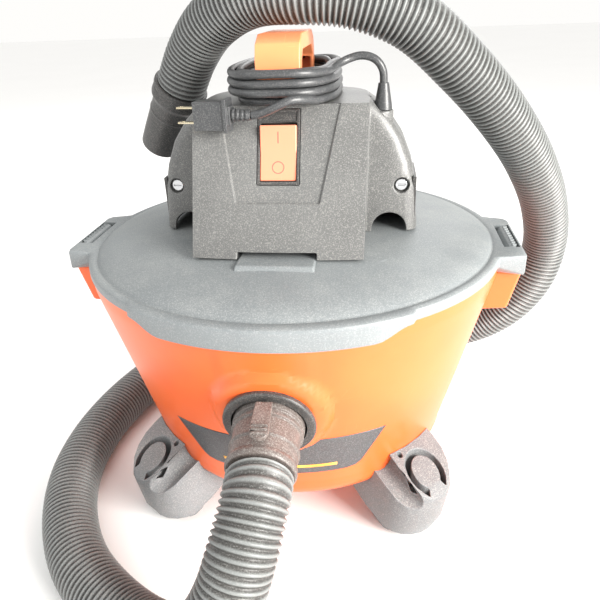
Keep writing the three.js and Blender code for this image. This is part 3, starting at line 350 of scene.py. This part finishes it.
def polar_shell(name, rings):
    """A closed shell; each ring gives (radius, height) in mm for an angle from the front."""
    points, faces = [], []
    turns_at = [2 * math.pi * j / round_steps for j in range(round_steps)]
    for ring in rings:
        for angle in turns_at:
            radius, height = ring(angle) if callable(ring) else ring
            points.append((radius * math.sin(angle) * mm, -radius * math.cos(angle) * mm, height * mm))
    for i in range(len(rings) - 1):
        for j in range(round_steps):
            here, there = i * round_steps + j, i * round_steps + (j + 1) % round_steps
            faces.append((here, there, there + round_steps, here + round_steps))
    first = list(range(round_steps))
    last = [(len(rings) - 1) * round_steps + j for j in first]
    faces += [tuple(reversed(first)), tuple(last)]
    return mesh_piece(name, points, faces)


def eased(value, start, end):
    """0 before start and 1 after end, turning smoothly between them."""
    share = min(1, max(0, (value - start) / (end - start)))
    return share * share * (3 - 2 * share)


def sharpened(piece, angle=32):
    """Keeps the hard edges of a smooth-shaded mesh crisp."""
    piece.data.set_sharp_from_angle(angle=math.radians(angle))
    return piece

# %% The line where the lid meets the tank
lid_radius, recess_radius, lug_x, lug_y = 220, 215, 232, -6
skirt_low, skirt_high = 264.3, 274.3


def from_front(angle):
    """Degrees away from the nearer of front and back."""
    return abs(math.degrees(math.remainder(angle, math.pi)))


def latch_share(angle):
    """1 beside the latches, 0 elsewhere."""
    y = -recess_radius * math.cos(angle)
    return 1 - eased(abs(y - lug_y), 47, 62)


def lid_outline(angle):
    radius = lid_radius - (lid_radius - recess_radius) * eased(from_front(angle), 32.5, 34.5)
    share = latch_share(angle)
    if share > 0:
        radius += (lug_x / abs(math.sin(angle)) - radius) * share
    return radius


def seam_height(angle):
    """The skirt's lower edge, low at the front, the back and the latches."""
    low = max(1 - eased(from_front(angle), 24, 32), latch_share(angle))
    return skirt_high - (skirt_high - skirt_low) * low

# %% Lid
lid_crown = 302.3
skirt_inner_radius = 212.2


def lid_ring(inset, height):
    """A ring that keeps the lid's outline, drawn in by the inset."""
    return lambda angle: (lid_outline(angle) - inset, height)


def skirt_ring(inset, rise):
    """A ring of the skirt's outer wall, that far above its lower edge."""
    return lambda angle: (lid_outline(angle) - inset, seam_height(angle) + rise)


def skirt_inside(angle):
    return skirt_inner_radius, seam_height(angle)


lid = polar_shell("lid_fine", [
    (60, lid_crown), (104, lid_crown), (116, lid_crown - 0.4), (128, lid_crown - 1.4), (141, 299.6),
    (160, 297.1), (178, 294.1), (188, 291.9), (195, 289.8), (199.5, 288), (202.5, 286.4),
    (204.3, 285.3), (205.2, 284.2), (206.4, 283.7), (207.6, 284.1), (209, 284.9),
    lid_ring(4.4, 285.1), lid_ring(2.2, 284.8), lid_ring(0.8, 284.0), lid_ring(0.1, 282.6),
    lid_ring(0, 281), skirt_ring(0, 1.4), skirt_ring(0.4, 0.4), skirt_ring(1.2, 0),
    skirt_inside, (skirt_inner_radius, 281), (195, 283), (175, 289), (135, 296.5), (60, 296.5),
])
window_across, window_along, window_heights = (213.5, 229), (-39, 27), (255, 290)
window_faces = [
    (0, 1, 3, 2), (4, 6, 7, 5), (0, 4, 5, 1), (2, 3, 7, 6), (0, 2, 6, 4), (1, 5, 7, 3),
]
for side in (1, -1):
    cutter = mesh_piece("latch_window", [
        (side * x * mm, y * mm, z * mm)
        for x in window_across for y in window_along for z in window_heights
    ], window_faces, smooth=False)
    if side < 0:
        cutter.data.flip_normals()
    window_cut = lid.modifiers.new("latch window", "BOOLEAN")
    window_cut.object = cutter
    window_cut.solver = "EXACT"
    shown = bpy.context.evaluated_depsgraph_get()
    cut_mesh = bpy.data.meshes.new_from_object(lid.evaluated_get(shown))
    lid.modifiers.clear()
    lid.data = cut_mesh
    bpy.data.objects.remove(cutter)
sharpened(lid)
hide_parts("lid")
print("lid faces:", len(lid.data.polygons))

# %% The ledge in front of the power head
# The foot's four corners come first, then the top's four above them.
block_faces = [
    (0, 3, 2, 1), (4, 5, 6, 7), (0, 1, 5, 4), (1, 2, 6, 5), (2, 3, 7, 6), (3, 0, 4, 7),
]


def rounded_block(name, low, high, edge, bottom_front=0, bottom_grow=0):
    """A block between two heights; bottom_front brings the foot of its front face forward."""
    (x0, y0, z0), (x1, y1, z1) = low, high
    points = [
        (x0 - bottom_grow, y0 - bottom_front, z0), (x1 + bottom_grow, y0 - bottom_front, z0),
        (x1 + bottom_grow, y1, z0), (x0 - bottom_grow, y1, z0),
        (x0, y0, z1), (x1, y0, z1), (x1, y1, z1), (x0, y1, z1),
    ]
    block = mesh_piece(name, [Vector(p) * mm for p in points], block_faces)
    return soften(block, edge * mm, segments=3)


ledge = rounded_block(
    "lid_ledge", (-35, -137, 294), (35, -100, 302.9), 1.6, bottom_front=9, bottom_grow=2,
)

# %% Tank
tank_base, tank_foot_radius = 58, 161
fillet_top = 84
shoulder = 264
inlet_reach = 47
inlet_swell = 7  # the boss, proud of the wall
swell_ease = 9
bore_radius = 36.5
panel_rise = 1.1  # the raised panel above the inlet
rim_radius = 211.5


def wall_radius(z):
    """The tank wall's radius in mm at a height in mm."""
    return tank_foot_radius + (z - tank_base) * math.tan(tank_slope)


def from_inlet(angle, radius, height):
    """How far a point of the wall is from the inlet's axis, in mm."""
    point = Vector((radius * math.sin(angle), -radius * math.cos(angle), height)) * mm
    if point.y > 0:
        return 999
    return (point - inlet_place).cross(inlet_axis).length / mm


def wall_ring(share):
    """A ring of the wall, from the base's fillet (0) to the seam with the lid (1)."""
    def ring(angle):
        height = fillet_top + (seam_height(angle) - 0.4 - fillet_top) * share
        radius = wall_radius(min(height, shoulder)) + 0.06 * max(0, height - shoulder)
        distance = from_inlet(angle, radius, height)
        radius += inlet_swell * (1 - eased(distance, inlet_reach, inlet_reach + swell_ease))
        panel = 1 - eased(abs(math.degrees(math.remainder(angle, 2 * math.pi))), 10.6, 12.2)
        return radius + panel_rise * panel * eased(height, 150, 190), height
    return ring


fillet = [math.radians(15 * i) for i in range(7)]
drum = polar_shell("drum_fine", [
    (60, tank_base + 1.5), (118, tank_base + 1.5), (124, tank_base),
    *[(144.2 + 23.4 * math.sin(a), tank_base + 26 * (1 - math.cos(a))) for a in fillet],
    *[wall_ring(i / 44) for i in range(1, 45)],
    lambda angle: (rim_radius, seam_height(angle) - 0.3),
    (rim_radius, 276.3), (210.8, 277), (208.6, 277), (208, 276.3), (208, 266), (209, 258),
    (164.2, 84), (160, 74), (150, 66), (140, 62.5), (60, 61.5),
])
work = bmesh.new()
work.from_mesh(drum.data)
bore = []
for face in work.faces:
    centre = face.calc_center_median()
    if centre.y < 0 and (centre - inlet_place).cross(inlet_axis).length < bore_radius * mm:
        if abs(centre.z - inlet_place.z) < 0.06:
            bore.append(face)
bmesh.ops.delete(work, geom=bore, context="FACES")
work.to_mesh(drum.data)
work.free()
sharpened(drum)
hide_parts("drum")
print("tank faces:", len(drum.data.polygons), "opened for the inlet:", len(bore))

# %% Latch lugs on the tank
lugs = []
lug_inner, lug_outer = 199, 231
lug_foot, lug_top = 218, 263.9
for side, title in ((1, "right"), (-1, "left")):
    lug = mesh_piece("tank_lug_" + title, [
        (side * x * mm, (lug_y + y) * mm, z * mm) for x, y, z in (
            (lug_inner - 12, -40, lug_foot), (lug_outer - 9, -40, lug_foot + 2),
            (lug_outer - 9, 40, lug_foot + 2), (lug_inner - 12, 40, lug_foot),
            (lug_inner, -46, lug_top), (lug_outer, -46, lug_top),
            (lug_outer, 46, lug_top), (lug_inner, 46, lug_top),
        )
    ], block_faces)
    if side < 0:
        lug.data.flip_normals()
    lugs.append(soften(lug, 3.5 * mm, segments=4))
print("lugs:", [lug.name for lug in lugs])

# %% [markdown]
# ## Parts with moulded edges
# Every edge of a moulded part is a little round, and catches the light. The CAD parts have sharp
# edges, so each part that shows is copied, its coplanar triangles are merged back into whole faces,
# and a bevel rounds what is left. Weighted normals keep the large faces flat and the curves smooth.

# %% Copies of the CAD parts with rounded edges
body_of = {
    node: body for body, members in frame["record"]["behaviour"]["bodies"].items() for node in members
}


def dressed(node, edge=0.8, merge=True, angle=30, segments=2):
    """A copy of a CAD part with rounded edges, which stands for it; edge in mm."""
    mesh = nodes[node].data.copy()
    mesh.name = node + "_fine"
    work = bmesh.new()
    work.from_mesh(mesh)
    bmesh.ops.remove_doubles(work, verts=work.verts, dist=2e-6)
    if merge:
        bmesh.ops.dissolve_limit(
            work, angle_limit=math.radians(0.4), verts=work.verts, edges=work.edges,
        )
    work.to_mesh(mesh)
    work.free()
    mesh.polygons.foreach_set("use_smooth", [True] * len(mesh.polygons))
    mesh.materials.clear()
    piece = link(mesh.name, mesh)
    soften(piece, edge * mm, angle, segments)
    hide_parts(node)
    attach(piece, body_of[node])
    return piece


corners = ("front_right", "front_left", "rear_right", "rear_left")
edges = {
    "inlet_port": 0.6, "lock_tab": 0.7, "latch_right": 0.5, "latch_left": 0.5,
    "side_grille_right": 0.3, "side_grille_left": 0.3, "motor_cover": 1.0,
    "switch_bezel": 0.5, "rocker": 1.0, "carry_handle": 1.4, "strain_relief": 0.4, "plug": 0.5,
    "plug_blade_upper": 0.2, "plug_blade_lower": 0.2, "handle_screw_front": 0.3,
    "handle_screw_rear": 0.3,
}
for corner in corners:
    edges["caster_foot_" + corner] = 1.0
    edges["caster_fork_" + corner] = 0.4
    edges["caster_wheel_" + corner] = 0.6
    edges["caster_axle_" + corner] = 0.3
    edges["cover_screw_" + corner] = 0.3
fine = {node: dressed(node, edge, node != "motor_cover") for node, edge in edges.items()}
print("dressed parts:", len(fine))

# %% [markdown]
# ## Effects shared by the finishes
# Four things happen to every plastic part of a used vacuum. Dust settles where a surface looks up,
# edges rub paler, thin scratches cross the faces, and the moulded grain breaks up the gloss. Each is
# a node group with named sockets, so that every material uses the same effect with its own strength.

# %% Helpers for node trees
def add(tree, kind, inputs=None, **settings):
    """One node; inputs are values or the sockets that feed them."""
    made = tree.nodes.new(kind)
    for key, value in settings.items():
        setattr(made, key, value)
    for key, value in (inputs or {}).items():
        if isinstance(value, bpy.types.NodeSocket):
            tree.links.new(value, made.inputs[key])
        else:
            made.inputs[key].default_value = value
    return made


def new_group(name, inputs, outputs):
    group = bpy.data.node_groups.new(name, "ShaderNodeTree")
    for title, value in inputs.items():
        socket = group.interface.new_socket(title, in_out="INPUT", socket_type="NodeSocketFloat")
        socket.default_value = value
    for title in outputs:
        group.interface.new_socket(title, in_out="OUTPUT", socket_type="NodeSocketFloat")
    return group, add(group, "NodeGroupInput"), add(group, "NodeGroupOutput")


def maths(tree, operation, first, second, clamp=False):
    made = add(tree, "ShaderNodeMath", {0: first, 1: second}, operation=operation)
    made.use_clamp = clamp
    return made.outputs[0]


def ramp(tree, value, low, high):
    made = add(tree, "ShaderNodeMapRange", {
        "Value": value, "From Min": low, "From Max": high,
    }, interpolation_type="SMOOTHSTEP")
    return made.outputs["Result"]


def noise(tree, where, scale, detail=3.0, roughness=0.55):
    made = add(tree, "ShaderNodeTexNoise", {
        "Vector": where, "Scale": scale, "Detail": detail, "Roughness": roughness,
    })
    return made.outputs["Fac"]

# %% Settled dust
dust_group, given, result = new_group("Settled dust", {"Amount": 0.5, "Scale": 18.0}, ["Mask"])
where = add(dust_group, "ShaderNodeTexCoord").outputs["Object"]
facing = add(dust_group, "ShaderNodeSeparateXYZ", {
    0: add(dust_group, "ShaderNodeNewGeometry").outputs["Normal"],
}).outputs["Z"]
drift = noise(dust_group, where, given.outputs["Scale"], 5.0, 0.62)
speck = noise(dust_group, where, 900.0, 2.0, 0.6)
looks_up = maths(dust_group, "MULTIPLY", ramp(dust_group, facing, -0.2, 0.95), 0.5)
cover = maths(dust_group, "ADD", maths(dust_group, "MULTIPLY", drift, 0.6), looks_up)
cover = maths(dust_group, "ADD", cover, maths(dust_group, "MULTIPLY", speck, 0.5))
cover = maths(dust_group, "ADD", cover, given.outputs["Amount"])
dust_group.links.new(ramp(dust_group, cover, 0.95, 1.6), result.inputs["Mask"])

# %% Rubbed edges
edge_group, given, result = new_group("Rubbed edges", {"Reach": 0.0015}, ["Mask"])
rounded = add(edge_group, "ShaderNodeBevel", {"Radius": given.outputs["Reach"]}, samples=3)
straight = add(edge_group, "ShaderNodeNewGeometry").outputs["Normal"]
agree = add(edge_group, "ShaderNodeVectorMath", {
    0: rounded.outputs["Normal"], 1: straight,
}, operation="DOT_PRODUCT").outputs["Value"]
where = add(edge_group, "ShaderNodeTexCoord").outputs["Object"]
patchy = noise(edge_group, where, 60.0, 4.0, 0.6)
turned_away = ramp(edge_group, maths(edge_group, "SUBTRACT", 1.0, agree), 0.01, 0.2)
edge_group.links.new(
    maths(edge_group, "MULTIPLY", turned_away, ramp(edge_group, patchy, 0.38, 0.62)),
    result.inputs["Mask"],
)

# %% Fine scratches
scratch_group, given, result = new_group("Fine scratches", {"Amount": 0.5, "Turn": 0.4}, ["Mask"])
where = add(scratch_group, "ShaderNodeTexCoord").outputs["Object"]
strokes = []
for turn, stretch in ((0.35, (20, 1300, 20)), (1.9, (26, 26, 1200)), (-0.7, (1100, 24, 30))):
    laid = add(scratch_group, "ShaderNodeMapping", {
        "Vector": where, "Rotation": (turn, turn * 0.6, turn * 1.3), "Scale": stretch,
    }).outputs["Vector"]
    strokes.append(ramp(scratch_group, noise(scratch_group, laid, 1.0, 2.0, 0.5), 0.68, 0.76))
crossed = maths(scratch_group, "MAXIMUM", maths(scratch_group, "MAXIMUM", *strokes[:2]), strokes[2])
thinned = ramp(scratch_group, noise(scratch_group, where, 26.0), 0.45, 0.65)
crossed = maths(scratch_group, "MULTIPLY", crossed, thinned)
scratch_group.links.new(
    maths(scratch_group, "MULTIPLY", crossed, given.outputs["Amount"]), result.inputs["Mask"],
)

# %% Moulded grain
grain_group, given, result = new_group("Moulded grain", {"Scale": 1400.0}, ["Height", "Speckle"])
where = add(grain_group, "ShaderNodeTexCoord").outputs["Object"]
pebbles = noise(grain_group, where, given.outputs["Scale"], 2.0, 0.6)
coarse = noise(grain_group, where, 900.0, 3.0, 0.7)
grain_group.links.new(maths(grain_group, "ADD", pebbles, coarse), result.inputs["Height"])
grain_group.links.new(ramp(grain_group, coarse, 0.48, 0.66), result.inputs["Speckle"])

# %% Uneven tone
tone_group, given, result = new_group("Uneven tone", {"Scale": 7.0}, ["Mask"])
where = add(tone_group, "ShaderNodeTexCoord").outputs["Object"]
tone_group.links.new(
    ramp(tone_group, noise(tone_group, where, given.outputs["Scale"], 4.0), 0.3, 0.7),
    result.inputs["Mask"],
)
print("effects:", [g.name for g in bpy.data.node_groups])

# %% [markdown]
# ## Finishes
# All the moulded parts are the same kind of material, a plastic with dust, wear, scratches and grain
# on it. One function builds it, and each finish is that function with its own colours and amounts.

# %% A used plastic
def group_node(tree, group, **inputs):
    made = tree.nodes.new("ShaderNodeGroup")
    made.node_tree = group
    for key, value in inputs.items():
        made.inputs[key].default_value = value
    return made.outputs


def mixed(tree, factor, first, second):
    """One colour over another; each is a colour or a socket."""
    made = tree.nodes.new("ShaderNodeMix")
    made.data_type = "RGBA"
    for socket, value in ((made.inputs[0], factor), (made.inputs[6], first), (made.inputs[7], second)):
        if isinstance(value, bpy.types.NodeSocket):
            tree.links.new(value, socket)
        else:
            socket.default_value = value if isinstance(value, float) else (*value, 1)
    return made.outputs[2]


def scaled(tree, value, factor):
    return maths(tree, "MULTIPLY", value, factor)


def used_plastic(name, colour, shade, dust, dusting, *, rough=0.42, dull=0.8, worn=None,
                 wear=0.5, scratches=0.5, speckle=0.0, grain=0.08, grain_scale=1400.0,
                 dust_scale=18.0, reach=0.0015, metallic=0.0, crest=None):
    """A moulded surface; colour to shade is its own tone, dust lies on it and worn shows on edges."""
    finish = bpy.data.materials.new(name)
    finish.use_nodes = True
    tree = finish.node_tree
    shader = tree.nodes["Principled BSDF"]
    worn = worn or tuple(min(1, c * 1.6 + 0.05) for c in colour)
    settled = group_node(tree, dust_group, Amount=dusting, Scale=dust_scale)["Mask"]
    rubbed = scaled(tree, group_node(tree, edge_group, Reach=reach)["Mask"], wear)
    scored = group_node(tree, scratch_group, Amount=scratches)["Mask"]
    moulded = group_node(tree, grain_group, Scale=grain_scale)
    tone = group_node(tree, tone_group)["Mask"]
    base = mixed(tree, tone, colour, shade)
    if crest:
        high = add(tree, "ShaderNodeAttribute", attribute_name="crest").outputs["Fac"]
        base = mixed(tree, scaled(tree, ramp(tree, high, 0.3, 1.0), 0.85), base, crest)
    if speckle:
        base = mixed(tree, scaled(tree, moulded["Speckle"], speckle), base, dust)
    base = mixed(tree, scored, base, worn)
    base = mixed(tree, rubbed, base, worn)
    base = mixed(tree, settled, base, dust)
    tree.links.new(base, shader.inputs["Base Color"])
    gloss = add(tree, "ShaderNodeMapRange", {"Value": settled, "To Min": rough, "To Max": dull})
    tree.links.new(gloss.outputs["Result"], shader.inputs["Roughness"])
    relief = add(tree, "ShaderNodeBump", {
        "Height": maths(tree, "SUBTRACT", moulded["Height"], scored), "Strength": grain,
        "Distance": 0.0004,
    })
    tree.links.new(relief.outputs["Normal"], shader.inputs["Normal"])
    shader.inputs["Metallic"].default_value = metallic
    return finish

# %% The finishes of this vacuum
finishes = {
    "tank": used_plastic("tank orange", (0.82, 0.145, 0.03), (0.76, 0.115, 0.022), (0.62, 0.42, 0.30),
                         -0.18, rough=0.33, wear=0.25, scratches=0.2, grain=0.03),
    # the handle orange is the handle's own colour made paler, as painted light that lifts the handle
    # out of the hose's shadow
    "trim": used_plastic("handle orange with painted light", (0.93, 0.32, 0.14), (0.88, 0.26, 0.10),
                         (0.75, 0.52, 0.38), -0.05, rough=0.4, wear=0.3, grain=0.04),
    # the switch paddle's paler orange is painted glare: a lit copy of the orange plastic
    "rocker": used_plastic("switch paddle orange with painted glare", (0.86, 0.27, 0.16), (0.82, 0.23, 0.13),
                           (0.78, 0.54, 0.42), -0.08, rough=0.34, wear=0.2, scratches=0.2, grain=0.03),
    "lid": used_plastic("lid grey", (0.205, 0.225, 0.232), (0.165, 0.182, 0.19),
                        (0.40, 0.41, 0.40), 0.02, rough=0.5, scratches=0.3, speckle=0.35,
                        grain=0.12, wear=0.4),
    "cover": used_plastic("power head grey", (0.125, 0.127, 0.125), (0.085, 0.086, 0.085),
                          (0.45, 0.445, 0.42), -0.03, rough=0.36, scratches=0.4, speckle=0.34,
                          grain=0.14, wear=0.5),
    "foot": used_plastic("foot grey", (0.19, 0.20, 0.21), (0.13, 0.135, 0.14), (0.47, 0.46, 0.43), 0.0,
                         rough=0.5, scratches=0.5, speckle=0.4, grain=0.14, wear=0.6),
    "black": used_plastic("black plastic", (0.045, 0.045, 0.045), (0.03, 0.03, 0.03),
                          (0.36, 0.33, 0.30), -0.1, rough=0.4, scratches=0.8, speckle=0.3),
    "cuff": used_plastic("cuff plastic", (0.07, 0.066, 0.064), (0.11, 0.088, 0.078),
                         (0.40, 0.38, 0.36), 0.0, rough=0.4, scratches=0.9, speckle=0.5, wear=0.7),
    "hose": used_plastic("hose plastic", (0.035, 0.036, 0.036), (0.05, 0.047, 0.044),
                         (0.34, 0.345, 0.33), 0.0, rough=0.42, scratches=0.3, speckle=0.3,
                         crest=(0.20, 0.212, 0.21), wear=0.3, dust_scale=34.0),
    "cord": used_plastic("cord jacket", (0.045, 0.047, 0.05), (0.03, 0.032, 0.034),
                         (0.30, 0.30, 0.29), -0.12, rough=0.34, scratches=0.2, speckle=0.25),
    "wheel": used_plastic("wheel plastic", (0.03, 0.03, 0.03), (0.045, 0.042, 0.04),
                          (0.33, 0.30, 0.27), 0.0, rough=0.5, speckle=0.4),
    "steel": used_plastic("plated steel", (0.60, 0.61, 0.63), (0.50, 0.51, 0.53), (0.35, 0.33, 0.30),
                          -0.25, rough=0.28, dull=0.7, metallic=0.95, speckle=0.1),
    "brass": used_plastic("nickel plated brass", (0.66, 0.58, 0.42), (0.56, 0.48, 0.33),
                          (0.35, 0.32, 0.28), -0.25, rough=0.26, dull=0.7, metallic=0.95),
    "paper": used_plastic("filter paper", (0.80, 0.75, 0.62), (0.72, 0.66, 0.54), (0.5, 0.47, 0.42),
                          -0.05, rough=0.9, grain=0.2, scratches=0.0),
    "white": used_plastic("float plastic", (0.78, 0.78, 0.75), (0.7, 0.7, 0.68), (0.55, 0.53, 0.5),
                          -0.2, rough=0.5),
    "decal": used_plastic("decal film", (0.035, 0.037, 0.042), (0.055, 0.055, 0.058),
                          (0.30, 0.30, 0.30), -0.15, rough=0.35, scratches=1.0, speckle=0.35),
    "stripe": used_plastic("decal stripe", (0.90, 0.42, 0.06), (0.85, 0.36, 0.05), (0.6, 0.5, 0.4),
                           -0.2, rough=0.4),
    "engraving": used_plastic("engraved ink", (0.20, 0.13, 0.09), (0.15, 0.09, 0.06),
                              (0.5, 0.45, 0.4), -0.3, rough=0.7),
}
print("finishes:", len(finishes))

# %% [markdown]
# ## Which finish goes where
# The record names a material slot for every CAD node. Most slots have one finish here, so the whole
# model is painted from that list, and only the pieces that differ are named.

# %% Paint every part
slot_finish = {
    "tank_orange": "tank", "trim_orange": "trim", "lid_grey": "lid", "cover_grey": "cover",
    "foot_grey": "foot", "black_plastic": "black", "hose_plastic": "hose", "cord_rubber": "cord",
    "gasket_rubber": "cord", "wheel_plastic": "wheel", "steel": "steel", "brass": "brass",
    "filter_paper": "paper", "float_plastic": "white",
}


def paint(piece, finish):
    piece.data.materials.clear()
    piece.data.materials.append(finishes[finish])


slots = {part["node"]: part["material_slot"] for part in frame["record"]["subparts"]}
for node, slot in slots.items():
    paint(nodes[node], slot_finish[slot])
    if node in fine:
        paint(fine[node], slot_finish[slot])
for piece, finish, slot in (
    (lid, "lid", "lid_grey"), (ledge, "lid", "lid_grey"), (drum, "tank", "tank_orange"),
    (lugs[0], "tank", "tank_orange"), (lugs[1], "tank", "tank_orange"),
):
    paint(piece, finish)
paint(hose, "hose")
paint(cord, "cord")
paint(inlet_cuff, "cuff")
paint(end_cuff, "black")
paint(fine["lock_tab"], "cuff")
# the paddle takes the paler orange that holds painted glare
paint(fine["rocker"], "rocker")
for side in ("right", "left"):
    paint(fine["latch_" + side], "lid")
print("painted nodes:", len(slots))

# %% [markdown]
# ## The band on the tank
# A printed film wraps the front of the tank below the inlet. It is a grid that follows the cone of
# the wall, a fifth of a millimetre proud of it, with its ends drawn out to points at the top and a
# thin stripe near the bottom.

# %% Decal
def on_wall(name, low, high, half_angle, proud, rows=12, columns=60):
    """A patch of film; half_angle gives its half width in degrees at each height."""
    points, faces = [], []
    for i in range(rows + 1):
        z = low + (high - low) * i / rows
        reach = (wall_radius(z) + proud) * mm
        for j in range(columns + 1):
            angle = math.radians(half_angle(z)) * (2 * j / columns - 1)
            points.append((reach * math.sin(angle), -reach * math.cos(angle), z * mm))
    width = columns + 1
    for i in range(rows):
        for j in range(columns):
            first = i * width + j
            faces.append((first, first + 1, first + width + 1, first + width))
    made = mesh_piece(name, points, faces)
    film = made.modifiers.new("film thickness", "SOLIDIFY")
    film.thickness = 0.15 * mm
    film.offset = 1
    return made


def band_half(z):
    """Square-cornered low down, then drawn out to a point."""
    return float(np.interp(z, [101, 103, 108, 120, 150.5], [22, 25, 26.8, 28.6, 33.2]))


band_low, band_high = 101, 150.5
decal = on_wall("decal_band", band_low, band_high, band_half, 0.15, rows=24)
paint(decal, "decal")
stripe_low, stripe_high, stripe_half = 109.5, 113.5, 18.5
stripe = on_wall("decal_stripe", stripe_low, stripe_high, lambda z: stripe_half, 0.35, rows=2)
paint(stripe, "stripe")
for piece in (decal, stripe):
    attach(piece, "tank")

# %% [markdown]
# ## Switch marks
# The rocker has the usual bar and ring for on and off, printed in dark ink. Each mark is laid on the
# plane of its half of the rocker, which dips a little towards the middle.

# %% Marks on the rocker
panel_lean = math.radians(24.94)
panel_foot = Vector((0, -0.120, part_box("motor_cover")[0].z))
panel_plane = Matrix.Translation(panel_foot) @ Matrix.Rotation(math.pi / 2 - panel_lean, 4, "X")
switch_centre, switch_depth, switch_tilt = 94.75, -4, 8
switch_place = Matrix.Translation((0, switch_centre * mm, switch_depth * mm))
rocker_plane = panel_plane @ switch_place @ Matrix.Rotation(math.radians(switch_tilt), 4, "X")
face_dip = math.atan(2.4 / 24.2)


def rocker_face(side, distance):
    """The plane of the rocker's upper (1) or lower (-1) half, that far from its middle."""
    height = 4.6 * mm + distance * math.tan(face_dip) + 0.12 * mm
    return rocker_plane @ Matrix.Translation((0, side * distance, height)) @ Matrix.Rotation(
        side * face_dip, 4, "X")


def flat_mark(name, outline, plane, hole=()):
    """Ink with a little thickness; the outline, and a hole of the same count, are in mm."""
    rings = [outline, hole] if hole else [outline]
    points = [plane @ Vector((x * mm, y * mm, 0)) for ring in rings for x, y in ring]
    count = len(outline)
    if hole:
        faces = [(i, (i + 1) % count, count + (i + 1) % count, count + i) for i in range(count)]
    else:
        faces = [tuple(range(count))]
    made = mesh_piece(name, points, faces, smooth=False)
    ink = made.modifiers.new("ink thickness", "SOLIDIFY")
    ink.thickness = 0.12 * mm
    paint(made, "engraving")
    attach(made, "rocker")
    return made


def circle(radius, count=40):
    turn = 2 * math.pi / count
    return [(radius * math.cos(i * turn), radius * math.sin(i * turn)) for i in range(count)]


flat_mark("mark_on", [(-0.5, -5), (0.5, -5), (0.5, 5), (-0.5, 5)], rocker_face(1, 13.5 * mm))
flat_mark("mark_off", circle(5.6), rocker_face(-1, 12.5 * mm), circle(4.7))

# %% [markdown]
# ## What each piece rides on
# A dressed copy rides with its CAD node. The cuff and the decal belong to the tank, and the cord to
# the lid. The hose crosses the joint that lifts the lid; it is baked in place and rides on neither
# body.

# %% Riding and the soft pieces
for piece in (inlet_cuff, drum, *lugs):
    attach(piece, "tank")
for piece in (lid, ledge):
    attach(piece, "lid")
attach(end_cuff, "lid")
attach(cord, "lid")
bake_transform(hose)

# %% [markdown]
# ## Floor and light
# The floor is plain and pale. A strong soft light comes from the right and the front, as from a wide
# window, a weaker one fills the left side, and the sky lights the rest evenly.

# %% Floor
floor_finish = bpy.data.materials.new("pale floor")
floor_finish.use_nodes = True
tree = floor_finish.node_tree
shader = tree.nodes["Principled BSDF"]
mottle = group_node(tree, tone_group, Scale=2.0)["Mask"]
floor_tone = mixed(tree, mottle, (0.94, 0.94, 0.935), (0.93, 0.93, 0.925))
tree.links.new(floor_tone, shader.inputs["Base Color"])
shader.inputs["Roughness"].default_value = 0.7
floor_half = 12
floor = mesh_piece("floor", [
    (-floor_half, -floor_half, 0), (floor_half, -floor_half, 0), (floor_half, floor_half, 0),
    (-floor_half, floor_half, 0),
], [(0, 1, 2, 3)])
floor.data.materials.append(floor_finish)

# %% Lights
world = bpy.data.worlds.new("studio")
bpy.context.scene.world = world
world.use_nodes = True
sky = world.node_tree.nodes["Background"]
sky.inputs["Color"].default_value = (1.0, 0.99, 0.97, 1)
sky.inputs["Strength"].default_value = 1.0


def window(name, place, aim, width, power, colour=(1, 1, 1)):
    light = bpy.data.lights.new(name, "AREA")
    light.shape = "SQUARE"
    light.size = width
    light.energy = power
    light.color = colour
    lamp = bpy.data.objects.new(name, light)
    bpy.context.scene.collection.objects.link(lamp)
    lamp.location = place
    lamp.rotation_euler = (Vector(aim) - Vector(place)).to_track_quat("-Z", "Y").to_euler()
    return lamp


middle = (0, 0, 0.25)
window("window light", (1.8, -1.3, 0.9), middle, 1.1, 145, (1, 0.97, 0.93))
window("fill light", (-1.8, -1.0, 1.4), middle, 1.6, 12)
window("back light", (0.3, 1.9, 1.8), middle, 1.4, 25)
